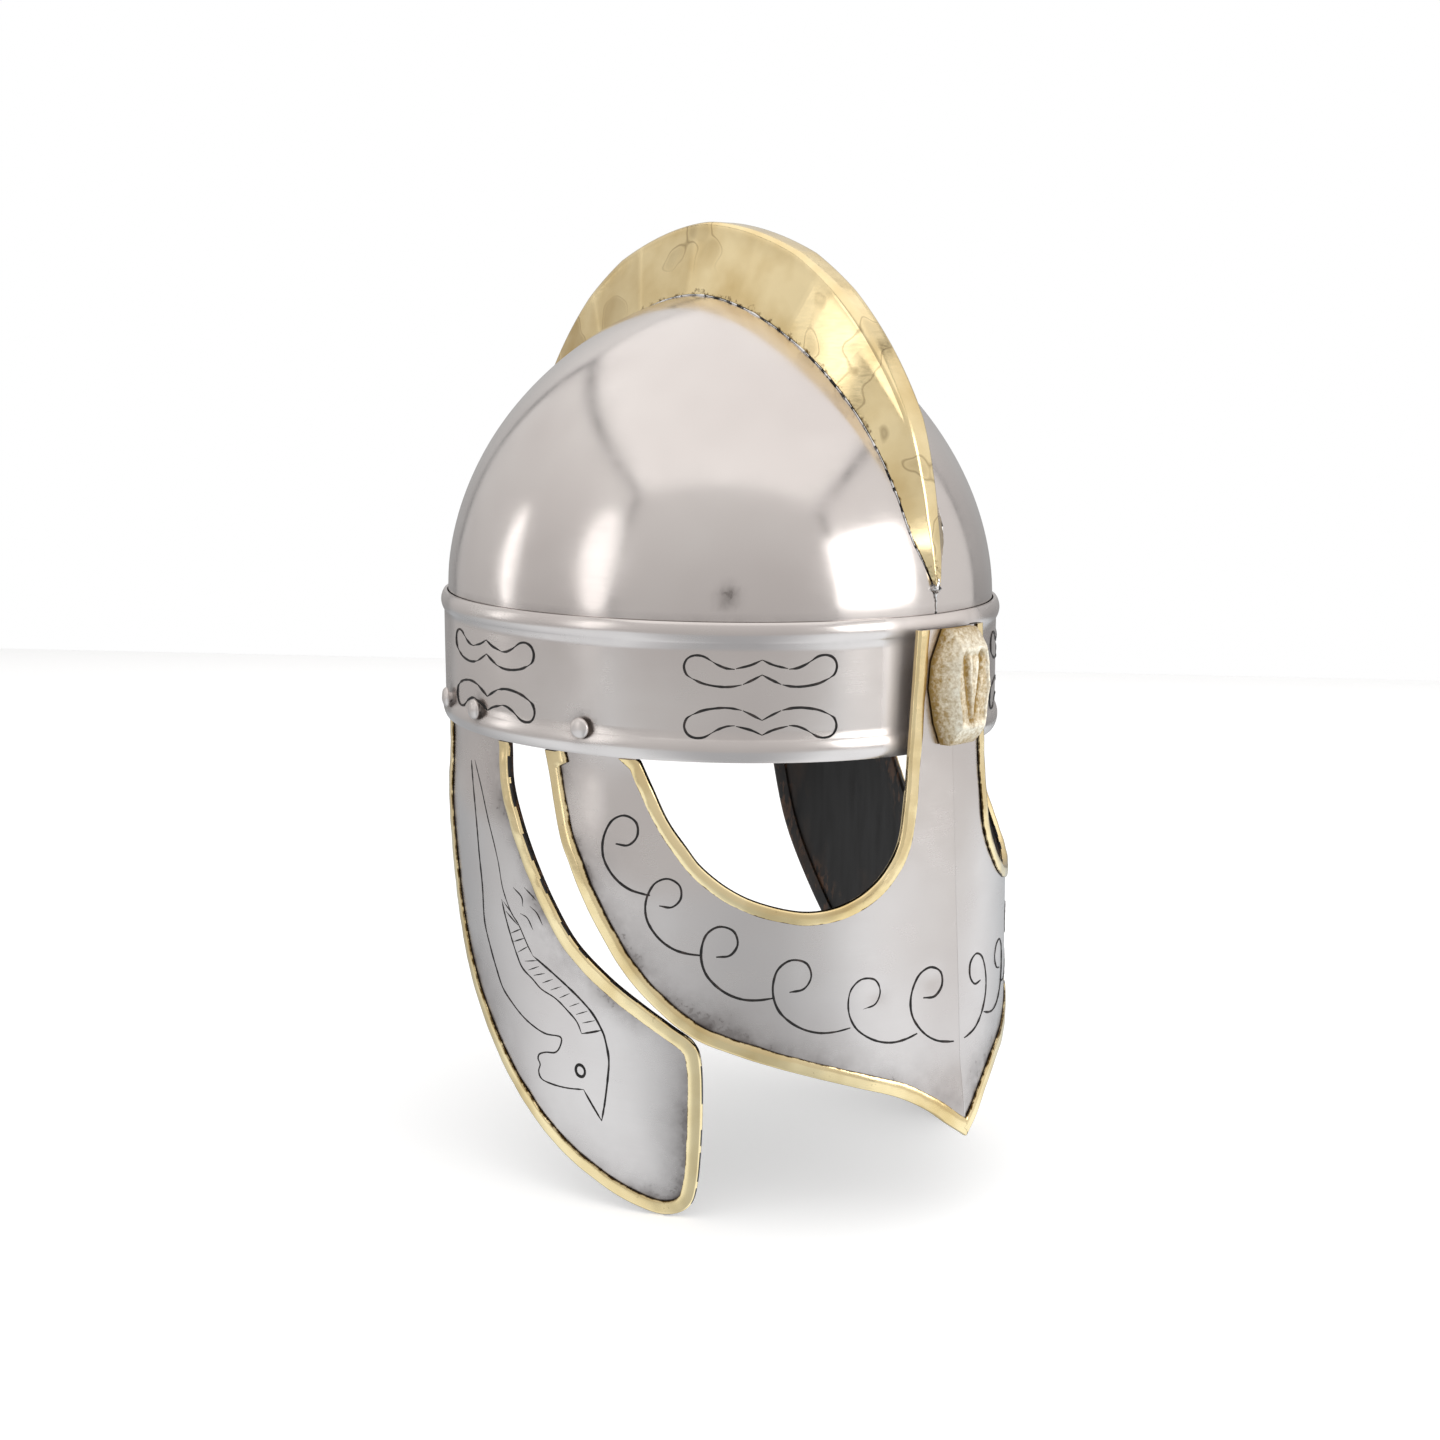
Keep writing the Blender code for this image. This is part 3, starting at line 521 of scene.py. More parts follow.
def brass_material(name, finish, stains):
    """Yellow sheet brass, buffed: pale gold mirror with fine grain and brown handling stains.
    With stains, thin closed rings are left where drops of flux dried, and the crest's flats get
    painted shade and its creases a painted highlight."""
    material, tree, shader, place = new_material(name)
    patches = stretched_noise(tree, place, 0.012, detail=3.0)
    colour = blend_colour(tree, remap(tree, patches, 0.4, 0.75), (*finish.brass, 1),
                          (*finish.brass_shade, 1))
    grime_and_shade = stored(tree, "grime_and_shade")
    specks = stretched_noise(tree, place, 0.0014, detail=4.0, roughness=0.7)
    level = calc(tree, "SUBTRACT", 1.0, grime_and_shade)
    dark = remap(tree, calc(tree, "SUBTRACT", specks, calc(tree, "MULTIPLY", level, 0.7)), 0.0, 0.2)
    if stains:
        # Ring of about 0.5 mm along one level of a slow noise, with patches 15 mm across
        slow = stretched_noise(tree, place, 0.011, detail=1.5, roughness=0.4)
        ring = remap(tree, calc(tree, "ABSOLUTE", calc(tree, "SUBTRACT", slow, 0.56), 0.0),
                     0.0, 0.011, 1.0, 0.0)
        fill = remap(tree, slow, 0.56, 0.6, 0.0, 0.2)
        where = remap(tree, stretched_noise(tree, place, 0.03, detail=0.0), 0.34, 0.46)
        stain_and_shade = calc(tree, "MULTIPLY", calc(tree, "MAXIMUM", calc(tree, "MULTIPLY", ring, 0.42), fill),
                     where)
        # Painted shade on the crest's flats, lighter along each crease as a painted highlight
        facet_shading = stored(tree, "facet_shading")
        stain_and_shade = calc(tree, "ADD", stain_and_shade, calc(tree, "MULTIPLY", facet_shading, 0.29))
        dark = calc(tree, "MAXIMUM", dark, stain_and_shade)
    colour = blend_colour(tree, dark, colour, (*finish.tarnish_and_shade, 1))
    tree.links.new(colour, shader.inputs["Base Color"])
    shader.inputs["Metallic"].default_value = 1.0
    grain = stretched_noise(tree, place, 0.0004, (6, 6, 1), detail=2.0)
    tree.links.new(remap(tree, grain, 0.3, 0.7, 0.13, 0.21), shader.inputs["Roughness"])
    bump = add_node(tree, "ShaderNodeBump", {"Height": grain, "Strength": 0.08, "Distance": 0.0001})
    tree.links.new(bump.outputs[0], shader.inputs["Normal"])
    return material


def gilt_material(name, finish):
    """Sand-cast brass, tumbled: rough pale gold high spots over brown hollows, with painted shade on the
    boss's sloping flanks.
    """
    material, tree, shader, place = new_material(name)
    grain = stretched_noise(tree, place, 0.0008, detail=5.0, roughness=0.75)
    # Brown of the hollows, and painted shade of the flanks, as stored on the boss
    high = stored(tree, "grime_and_shade")
    share = calc(tree, "ADD", calc(tree, "MULTIPLY", grain, 0.9), calc(tree, "MULTIPLY", high, 0.4))
    share = remap(tree, share, 0.38, 0.78)
    colour = blend_colour(tree, share, (*finish.gilt, 1), (*finish.gilt_shade, 1))
    tree.links.new(colour, shader.inputs["Base Color"])
    shader.inputs["Metallic"].default_value = 0.9
    tree.links.new(remap(tree, share, 0.0, 1.0, 0.36, 0.6), shader.inputs["Roughness"])
    bump = add_node(tree, "ShaderNodeBump", {"Height": grain, "Strength": 0.8, "Distance": 0.0004})
    tree.links.new(bump.outputs[0], shader.inputs["Normal"])
    return material


def groove_material(name, finish):
    """Chisel cut filled with black polish residue: matt brown-black."""
    material, tree, shader, place = new_material(name)
    residue = stretched_noise(tree, place, 0.002, detail=4.0, roughness=0.7)
    colour = blend_colour(tree, remap(tree, residue, 0.5, 0.75), (*finish.groove, 1),
                          (*finish.oxide_and_shade, 1))
    tree.links.new(colour, shader.inputs["Base Color"])
    shader.inputs["Roughness"].default_value = 0.7
    return material


def solder_material(name, finish):
    """Tin solder, run by torch and left unwiped: bright silver lumps with burnt flux specks."""
    material, tree, shader, place = new_material(name)
    lumps = stretched_noise(tree, place, 0.0011, detail=4.0, roughness=0.6)
    flux = remap(tree, stretched_noise(tree, place, 0.002, detail=4.0, roughness=0.7), 0.5, 0.56)
    colour = blend_colour(tree, flux, (*finish.solder, 1), (*finish.groove, 1))
    tree.links.new(colour, shader.inputs["Base Color"])
    tree.links.new(calc(tree, "SUBTRACT", 1.0, calc(tree, "MULTIPLY", flux, 0.8)),
                   shader.inputs["Metallic"])
    shader.inputs["Roughness"].default_value = 0.27
    bump = add_node(tree, "ShaderNodeBump", {"Height": lumps, "Strength": 0.5, "Distance": 0.0004})
    tree.links.new(bump.outputs[0], shader.inputs["Normal"])
    return material


def finish_of(context, name):
    """The named material, made once."""
    makers = {
        "polished_mild_steel": lambda label, finish: steel_material(label, finish, 0.17),
        "satin_mild_steel": lambda label, finish: steel_material(label, finish, 0.23),
        "hammered_rivet_steel": lambda label, finish: steel_material(label, finish, 0.36),
        "black_brushing_paint": paint_material,
        "buffed_crest_brass": lambda label, finish: brass_material(label, finish, True),
        "buffed_strip_brass": lambda label, finish: brass_material(label, finish, False),
        "sand_cast_brass": gilt_material,
        "chiselled_groove": groove_material,
        "tin_solder": solder_material,
    }
    return bpy.data.materials.get(name) or makers[name](name, context.scene.helmet_finish)


def hand_over(piece, nodes=()):
    """Put a finished piece in the frame: its body and the CAD nodes it stands for."""
    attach(piece, "root")
    if nodes:
        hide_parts(*nodes)
    return piece


def store(mesh, label, shares):
    """Keep one number for each point of a mesh, for its material or its node tree."""
    mesh.attributes.new(label, "FLOAT", "POINT").data.foreach_set("value", shares)


def face_outward(mesh):
    """Turn every face outward and shade it smooth."""
    bm = bmesh.new()
    bm.from_mesh(mesh)
    bmesh.ops.recalc_face_normals(bm, faces=bm.faces)
    bm.to_mesh(mesh)
    bm.free()
    mesh.polygons.foreach_set("use_smooth", [True] * len(mesh.polygons))


def mesh_piece(context, name, points, faces, finishes, grime_and_shade=None, face_finishes=None, sharp=40):
    """Object from points and faces, with its materials, its smoothing and its attribute of grime, oxide and
    painted shade.
    """
    mesh = bpy.data.meshes.new(name)
    mesh.from_pydata([tuple(point) for point in points], [], faces)
    for label in finishes:
        mesh.materials.append(finish_of(context, label))
    if face_finishes is not None:
        mesh.polygons.foreach_set("material_index", face_finishes)
    face_outward(mesh)
    mesh.set_sharp_from_angle(angle=radians(sharp))
    store(mesh, "grime_and_shade", grime_and_shade or [0.0] * len(mesh.vertices))
    mesh.update()
    piece = bpy.data.objects.new(name, mesh)
    context.scene.collection.objects.link(piece)
    return piece


def strip_faces(rows, columns, close_rows=False, close_columns=True):
    """Quads between rows of points, and which row each one starts from."""
    faces = []
    for row in range(rows if close_rows else rows - 1):
        after = (row + 1) % rows
        for k in range(columns if close_columns else columns - 1):
            nxt = (k + 1) % columns
            faces.append((row * columns + k, row * columns + nxt,
                          after * columns + nxt, after * columns + k))
    return faces


def bowl(context):
    """Raised bowl, polished outside and painted inside."""
    sizes = context.scene.helmet_sizes
    around = sizes.round_parts
    levels = 56

    def dome_ring(rise, depth):
        share = bowl_radius_share(rise)
        ring = []
        for k in range(around):
            angle = 360 * k / around
            turn = radians(angle)
            spot = Vector(((HALF_WIDTH + TAB_FACE - depth) * share * sin(turn),
                           -(HALF_LENGTH + TAB_FACE - depth) * share * cos(turn),
                           BAND_HEIGHT + (BOWL_RISE - depth) * rise))
            uneven = 0.00016 * ramp(0.02, 0.1, rise) * noise.noise(spot / 0.038)
            dent = 0.0006 * exp(-((spot.x - BOWL_DENT[0]) / 0.008) ** 2
                                - ((spot.z - BOWL_DENT[1]) / 0.007) ** 2)
            if spot.y < 0 and depth == 0:
                uneven -= dent
            outward = Vector((spot.x, spot.y, 0.6 * (spot.z - 0.04))).normalized()
            ring.append(spot + (uneven - BOWL_SET_BACK) * outward)
        return ring

    lap, lap_inside = ([wall_point(360 * k / around, BAND_HEIGHT - BOWL_LAP, out) for k in range(around)]
                       for out in (TAB_FACE - BOWL_SET_BACK, TAB_FACE - SHEET))
    rises = [sin(pi / 2 * k / levels) for k in range(levels)]
    outer = [lap] + [dome_ring(rise, 0) for rise in rises]
    inner = [lap_inside] + [dome_ring(rise, SHEET) for rise in rises]
    rings = inner[::-1] + outer
    points = [point for ring in rings for point in ring]
    faces = strip_faces(len(rings), around)
    painted = [1 if k // around < len(inner) - 1 else 0 for k in range(len(faces))]
    for start, height, label in ((0, BAND_HEIGHT + BOWL_RISE - SHEET, 1),
                                 (len(points) - around, BAND_HEIGHT + BOWL_RISE - BOWL_SET_BACK, 0)):
        points.append(Vector((0, 0, height)))
        faces += [(start + k, start + (k + 1) % around, len(points) - 1) for k in range(around)]
        painted += [label] * around
    grime_and_shade = []
    for point in points:
        near = (point - Vector(BOWL_SMUDGE)).length
        # A real smudge on the bowl's front, and painted shade: a darker line 3 mm high along the bowl's
        # foot where it meets the band
        grime_and_shade.append(exp(-(near / 0.0034) ** 2) + 0.25 * ramp(0.003, 0.0, point.z - BAND_HEIGHT))
    piece = mesh_piece(context, "bowl", points, faces, ["polished_mild_steel", "black_brushing_paint"],
                       grime_and_shade, painted)
    return hand_over(piece, ["skull"])


def band_section():
    """Outer line of the band's section: height and out, a rolled bead along each edge."""
    line = []
    for start, width in ((0, LOWER_BEAD), (BAND_HEIGHT - UPPER_BEAD, UPPER_BEAD)):
        for k in range(15):
            share = k / 14
            line.append((start + width * share, BAND_FACE + BEAD_BULGE * sin(pi * share) ** 0.8))
    flat_start, flat_end = line[14][0], line[15][0]
    flat = [(flat_start + (flat_end - flat_start) * k / 12, BAND_FACE) for k in range(1, 12)]
    return line[:15] + flat + line[15:]


def band(context):
    """Rolled band round the rim."""
    around = context.scene.helmet_sizes.round_parts
    section = band_section()
    whole = [(height, out, 0) for height, out in section]
    whole += [(height, out - SHEET, 1) for height, out in reversed(section)]
    points, grime_and_shade, dull = [], [], []
    rivets = [side * (angle + CHEEK_TURN[label]) for label, side in SIDES.items()
              for angle in CHEEK_RIVET_ANGLES.values()]
    rivets += [side * MASK_RIVET_ANGLE for side in SIDES.values()]
    for k in range(around):
        angle = 360 * k / around - 180
        for height, out, _ in whole:
            wave = hand_wave(angle, height, 0.00012, 11.0) if 0.0001 < height < BAND_HEIGHT - 0.0001 else 0
            points.append(wall_point(angle, height, out - 0.0001 + wave))
            # Darker along the foot of each bead, where it meets the flat
            dirt_and_shade = 0.12 * exp(-((height - LOWER_BEAD) / 0.0012) ** 2)
            dirt_and_shade += 0.1 * exp(-((height - BAND_HEIGHT + UPPER_BEAD) / 0.001) ** 2)
            for rivet in rivets:
                near = hypot(radians(angle - rivet) * MEAN_RADIUS, height - RIVET_HEIGHT)
                dirt_and_shade = max(dirt_and_shade, 0.75 * exp(-max(0.0, near - 0.004) / 0.0014))
            nose = abs(radians(angle) * MEAN_RADIUS)
            # Painted shade on the band beside the nosepiece, where the nose stands off the band
            dirt_and_shade = max(dirt_and_shade, 0.12 * exp(-abs(nose - 0.0195) / 0.002))
            grime_and_shade.append(min(dirt_and_shade, 1.0))
            dull.append(ramp(0.029, 0.0215, nose))
    columns = len(whole)
    faces = strip_faces(around, columns, close_rows=True)
    painted = [1 if k % columns >= len(section) else 0 for k in range(len(faces))]
    piece = mesh_piece(context, "band", points, faces, ["satin_mild_steel", "black_brushing_paint"],
                       grime_and_shade, painted, sharp=50)
    store(piece.data, "dull", dull)
    return hand_over(piece, ["brow_band"])


def crest_shares(angle):
    """Rise, rim and foot shares of the crest at an angle, the same before and behind its top."""
    angle = min(angle, 180 - angle)
    for low, high in zip(CREST_SECTIONS[:-1], CREST_SECTIONS[1:]):
        if angle <= high[0]:
            t = (angle - low[0]) / (high[0] - low[0])
            return [a + (b - a) * t for a, b in zip(low[1:], high[1:])]
    return CREST_SECTIONS[-1][1:]


def crest_section(angle, inward, facet):
    """Arch of the crest at an angle, from the right foot over the rim to the left foot."""
    rise, rim, foot = crest_shares(angle)
    turn = radians(angle)
    out = Vector((0, -cos(turn), sin(turn)))
    centre = Vector((0, 0, BAND_HEIGHT))
    half_foot = foot * CREST_FOOT_WIDTH / 2 - inward
    half_rim = rim * CREST_RIM_WIDTH / 2 - inward
    top = bowl_reach(turn, 0, CLEAR) + rise * CREST_RISE - inward
    foot_reach = bowl_reach(turn, half_foot, CLEAR)
    shoulder = top - 0.12 * (top - foot_reach)
    arch = []
    for k in range(9):
        share = k / 8
        half = half_foot + (half_rim - half_foot) * share
        bulge = facet * ramp(1.0, 0.9, share) * (0.4 + 0.6 * share)
        arch.append((half + bulge, foot_reach + (shoulder - foot_reach) * share))
    for k in range(1, 6):
        turn_in = pi / 2 * k / 5
        arch.append((half_rim * (0.6 + 0.4 * cos(turn_in)), shoulder + (top - shoulder) * sin(turn_in)))
    arch.append((0.3 * half_rim, top))
    right = [centre + out * reach + Vector((half, 0, 0)) for half, reach in arch]
    left = [Vector((-point.x, point.y, point.z)) for point in reversed(right)]
    return right + left


def facet_depth(angle, depth):
    """How far the crest's side stands out at an angle: hollow flats between hammered creases."""
    place = (angle - CREASE_ANGLE) / CREASE_PITCH
    low = place // 1
    share = place - low
    near, far = (depth * sin(2.4 * crease + 0.7) for crease in (low, low + 1))
    hollow = 0.35 * depth * 4 * share * (1 - share)
    fade = ramp(12, 45, min(angle, 180 - angle))
    return fade * (near * (1 - share) + far * share - hollow)


def flat_shading(angle):
    """How much painted shade the crest's brass gets at an angle: each flat its own shade, darker
    toward the rear and toward its front crease, with a painted highlight along each crease."""
    place = (angle - CREASE_ANGLE) / CREASE_PITCH
    low = place // 1
    share = place - low
    facet_shading = 0.66 * ramp(60, 122, angle) + 0.16 * sin(2.1 * low + 0.6) + 0.3 * (0.5 - share)
    # Painted highlight along each crease
    paler = exp(-(min(share, 1 - share) / 0.035) ** 2)
    return max(0.0, facet_shading - 0.5 * paler)


def crest(context):
    """Hollow brass crest with hammered flats between creases."""
    depth = context.scene.helmet_sizes.crease_depth
    first, last = CREST_FRONT_ANGLE, 180 - CREST_FRONT_ANGLE
    angles = [first + (last - first) * k / 300 for k in range(301)]
    creases = [CREASE_ANGLE + CREASE_PITCH * k for k in range(-5, 6)]
    angles += [crease + aside for crease in creases for aside in (-0.1, 0, 0.1)]
    angles = sorted(angle for angle in angles if first <= angle <= last)
    rings = []
    for angle in angles:
        outer = crest_section(angle, 0, facet_depth(angle, depth))
        inner = crest_section(min(max(angle, first + 6), last - 6) + (angle - 90) * 0.01, CREST_SHEET,
                              facet_depth(angle, depth))
        rings.append(outer + inner[::-1])
    half = len(rings[0]) // 2
    points = [point for ring in rings for point in ring]
    faces = strip_faces(len(rings), 2 * half)
    for start in (0, len(points) - 2 * half):
        faces.append(tuple(start + k for k in range(half)))
        faces.append(tuple(start + k for k in range(half, 2 * half)))
        faces.append((start, start + half - 1, start + half, start + 2 * half - 1))
    grime_and_shade = []
    for index in range(len(rings)):
        for k in range(2 * half):
            foot = min(k, half - 1 - k) if k < half else 0
            end = min(angles[index], 180 - angles[index])
            grime_and_shade.append(0.4 * exp(-foot / 0.45) + 0.25 * ramp(16, 8, end))
    piece = mesh_piece(context, "crest_shell", points, faces, ["buffed_crest_brass"], grime_and_shade, sharp=30)
    # Painted shade of the flats and painted highlight of the creases, kept for the brass
    store(piece.data, "facet_shading", [flat_shading(angle) for angle in angles for _ in range(2 * half)])
    return hand_over(piece, ["crest"])


def sheet_points(outline, fixed, spacing):
    """Even rows of points inside an outline, clear of the fixed points."""
    tree = KDTree(len(fixed))
    for index, point in enumerate(fixed):
        tree.insert((point.x, point.y, 0), index)
    tree.balance()
    low = Vector((min(p.x for p in outline), min(p.y for p in outline)))
    high = Vector((max(p.x for p in outline), max(p.y for p in outline)))
    spots = []
    for row in range(int((high.y - low.y) / (0.87 * spacing)) + 1):
        for column in range(int((high.x - low.x) / spacing) + 1):
            spot = low + spacing * Vector((column + 0.5 * (row % 2) + 0.25, 0.87 * row + 0.4))
            if tree.find((spot.x, spot.y, 0))[2] > 0.55 * spacing:
                spots.append(spot)
    held = are_inside(spots, outline)
    return [spot for spot, keep in zip(spots, held) if keep]


def sheet_piece(context, name, outline, surface, seams, edges_for_grime, strength, bare_above=None):
    """Bent sheet from a flat outline, steel outside, paint inside, with grime along its edgings."""
    step = context.scene.helmet_sizes.sheet_step
    outline = even_line(outline, 0.8 * step, closed=True)
    seams = [even_line(line, 0.8 * step) for line in seams]
    points = list(outline)
    edges = [(k, (k + 1) % len(outline)) for k in range(len(outline))]
    for line in seams:
        start = len(points)
        points += line
        edges += [(start + k, start + k + 1) for k in range(len(line) - 1)]
    points += sheet_points(outline, points, step)
    spots, _, faces, _, _, _ = delaunay_2d_cdt(points, edges, [], 0, 1e-7)
    middles = [sum((spots[k] for k in face), Vector((0, 0))) / 3 for face in faces]
    faces = [face for face, keep in zip(faces, are_inside(middles, outline)) if keep]
    used = sorted({k for face in faces for k in face})
    renumber = {k: index for index, k in enumerate(used)}
    count = len(used)
    solid = [surface(*unroll(spots[k]), lift) for lift in (0, -SHEET) for k in used]
    sides = {}
    skin, finishes = [], []
    for face in faces:
        a, b, c = (renumber[k] for k in face)
        skin += [(a, b, c), (count + c, count + b, count + a)]
        height = sum(spots[k].y for k in face) / 3
        finishes += [0, 0 if bare_above is not None and height > bare_above else 1]
        for pair in ((a, b), (b, c), (c, a)):
            sides[pair] = True
    for a, b in sides:
        if (b, a) not in sides:
            skin.append((b, a, count + a, count + b))
            finishes.append(1)
    border = KDTree(sum(len(line) for line in edges_for_grime))
    for index, point in enumerate([point for line in edges_for_grime for point in line]):
        border.insert((point.x, point.y, 0), index)
    border.balance()
    grime_and_shade = []
    for k in used:
        near = border.find((spots[k].x, spots[k].y, 0))[2] - EDGING_WIDTH
        patch = 0.62 + noise.noise(Vector((spots[k].x, spots[k].y, 1.7)) / 0.03)
        grime_and_shade.append(min(1.0, strength * max(0.25, patch) * exp(-max(0.0, near) / 0.0062)))
    return mesh_piece(context, name, solid, skin, ["satin_mild_steel", "black_brushing_paint"],
                      grime_and_shade * 2, finishes)


def mask_lines(step):
    """Outer lines of the mask's two edgings on one side, tip to arm and arm to nose."""
    edge = curve_through(pattern(MASK_EDGE, MASK_DROP), step)
    eye = curve_through(pattern(EYE_EDGE, MASK_DROP), step)
    return edge, eye


def face_mask(context):
    """Mask sheet with a sharp keel."""
    edge, eye = mask_lines(OUTLINE_STEP)
    back = EDGING_WALL + CLEAR
    lower = inset_line(edge, back, first=(0, 1), last=(-1, 0))
    lower.append(Vector((lower[-1].x, TAB_HEIGHT)))
    upper = inset_line(eye, back, first=(1, 0), last=(-1, 0))
    upper.insert(0, Vector((upper[0].x, TAB_HEIGHT)))
    half = lower + upper
    top = Vector((0, half[-1].y))
    outline = half + [top] + [Vector((-point.x, point.y)) for point in reversed(half[1:])]
    seams = [[half[0], top]]
    dirty = [edge, [Vector((-point.x, point.y)) for point in edge]]
    piece = sheet_piece(context, "face_mask_sheet", outline, mask_point, seams, dirty, 1.2, bare_above=0.0)
    keel = 1e-6
    for line in piece.data.edges:
        a, b = (piece.data.vertices[k].co for k in line.vertices)
        if abs(a.x) < keel and abs(b.x) < keel:
            line.use_edge_sharp = True
    return hand_over(piece, ["face_mask"])


def cheek_plates(context):
    """Both cheek plates."""
    for label, side in SIDES.items():
        edge = curve_through(pattern(CHEEK_EDGE, CHEEK_DROP), OUTLINE_STEP)
        outline = inset_line(edge, EDGING_WALL + CLEAR, first=(1, 0), last=(-1, 0))
        outline += [Vector((outline[-1].x, TAB_HEIGHT)), Vector((outline[0].x, TAB_HEIGHT))]
        surface = mirrored_surface(cheek_point, side, CHEEK_TURN[label])
        piece = sheet_piece(context, f"cheek_sheet_{label}", outline, surface, [], [edge], 1.05)
        hand_over(piece, [f"cheek_plate_{label}"])


def fold_section(wide, uneven):
    """Outer and inner lines of the folded strip: distance in from the outer line, and lift."""
    top, low = CLEAR + EDGING_WALL, -SHEET - CLEAR - EDGING_WALL
    radius = FOLD_RADIUS
    outer = [(wide + uneven, CLEAR + 0.0001), (wide + uneven - 0.0001, top - 0.0003),
             (wide + uneven - 0.0006, top - 0.00005), (0.62 * wide, top + 0.0001),
             (radius, top)]
    for k in range(1, 6):
        turn = pi / 2 * k / 6
        outer.append((radius * (1 - sin(turn)), top - radius * (1 - cos(turn))))
    outer.append((0, top - radius))
    lower = [(across, top + low - lift) for across, lift in reversed(outer[4:])]
    outer += lower + [(EDGING_WIDTH - 0.0003, low), (EDGING_WIDTH, -SHEET - CLEAR)]
    inner = []
    for across, lift in outer:
        inner.append((max(across, EDGING_WALL), min(max(lift, -SHEET - CLEAR), CLEAR)))
    return outer, inner


def edging_piece(context, name, line, surface, ways, painted_from, face=EDGING_WIDTH, ear=0):
    """Brass strip folded over a sheet's edge, painted where the paint inside reaches it."""
    steps = side_steps(line, *ways)
    points, grime_and_shade, chips = [], [], []
    seed = sum(ord(letter) for letter in name) * 0.37
    travelled = 0.0
    for k, (point, step) in enumerate(zip(line, steps)):
        if k:
            travelled += (point - line[k - 1]).length
        wide = EAR_WIDTH if k >= len(line) - ear else face
        uneven = 0.0003 * noise.noise(Vector((travelled / 0.009, seed, 0)))
        dent = 0.00018 * noise.noise(Vector((travelled / 0.006, seed, 4))) - 0.0001
        outer, inner = fold_section(wide, uneven)
        spot_seed = Vector((travelled / 0.004, seed, 9))
        chips.append(3 if noise.noise(Vector((travelled / 0.008, seed, 21))) > 0.03 else 0)
        for index, (across, lift) in enumerate(outer + inner[::-1]):
            lift += dent if index < len(outer) and lift > -0.5 * SHEET else 0.0
            points.append(surface(*unroll(point + step * across), lift))
            dirty = 0.5 if index < 2 or painted_from <= index < len(outer) else 0.0
            grime_and_shade.append(0.25 * max(0.0, noise.noise(spot_seed)) + dirty)
    section = len(outer) + len(inner)
    half = len(outer)
    faces = strip_faces(len(line), section)
    finishes = [1 if k % section >= painted_from - chips[k // section] and line[k // section].y < 0 else 0
                for k in range(len(faces))]
    for start in (0, len(points) - section):
        for k in range(half - 1):
            faces.append((start + k, start + k + 1, start + section - 2 - k, start + section - 1 - k))
            finishes.append(1 if k >= painted_from else 0)
    return mesh_piece(context, name, points, faces, ["buffed_strip_brass", "black_brushing_paint"],
                      grime_and_shade, finishes, sharp=45)


def edgings(context):
    """Brass edgings of the mask, the eye openings and the cheek plates."""
    step = context.scene.helmet_sizes.edging_step
    for label, side in SIDES.items():
        edge, eye = mask_lines(step)
        surface = mirrored_surface(mask_point, side)
        edge[0] = Vector((CLEAR / 2, edge[0].y))
        end = Vector((edge[-1].x, -2 * CLEAR))
        body = [point for point in edge if point.y < -EAR_LENGTH - 4 * CLEAR]
        feet = []
        for reach in (EAR_LENGTH + 0.0008, EAR_LENGTH):
            feet.append(end.lerp(body[-1], (reach + end.y) / (end.y - body[-1].y)))
        ear = [feet[1].lerp(end, k / 4) for k in range(5)]
        edge = body + [feet[0]] + ear
        piece = edging_piece(context, f"mask_strip_{label}", edge, surface, ((0, 1), (-1, 0)),
                             MASK_PAINT_START, ear=len(ear))
        hand_over(piece, [f"mask_edging_{label}"])
        eye[0] = Vector((eye[0].x, -2 * CLEAR))
        piece = edging_piece(context, f"eye_strip_{label}", eye, surface, ((1, 0), (-1, 0)),
                             MASK_PAINT_START, face=EYE_EDGING_FACE)
        hand_over(piece, [f"eye_edging_{label}"])
        edge = curve_through(pattern(CHEEK_EDGE, CHEEK_DROP), step)
        edge[0] = Vector((edge[0].x, -2 * CLEAR))
        edge[-1] = Vector((edge[-1].x, -2 * CLEAR))
        surface = mirrored_surface(cheek_point, side, CHEEK_TURN[label])
        piece = edging_piece(context, f"cheek_strip_{label}", edge, surface, ((1, 0), (-1, 0)),
                             CHEEK_PAINT_START)
        hand_over(piece, [f"cheek_edging_{label}"])


def interface(tree, sockets):
    """Named inputs and one geometry output of a node tree."""
    for name, kind in sockets:
        tree.interface.new_socket(name, in_out="INPUT", socket_type=kind)
    tree.interface.new_socket("Geometry", in_out="OUTPUT", socket_type="NodeSocketGeometry")
    return add_node(tree, "NodeGroupInput").outputs, add_node(tree, "NodeGroupOutput")


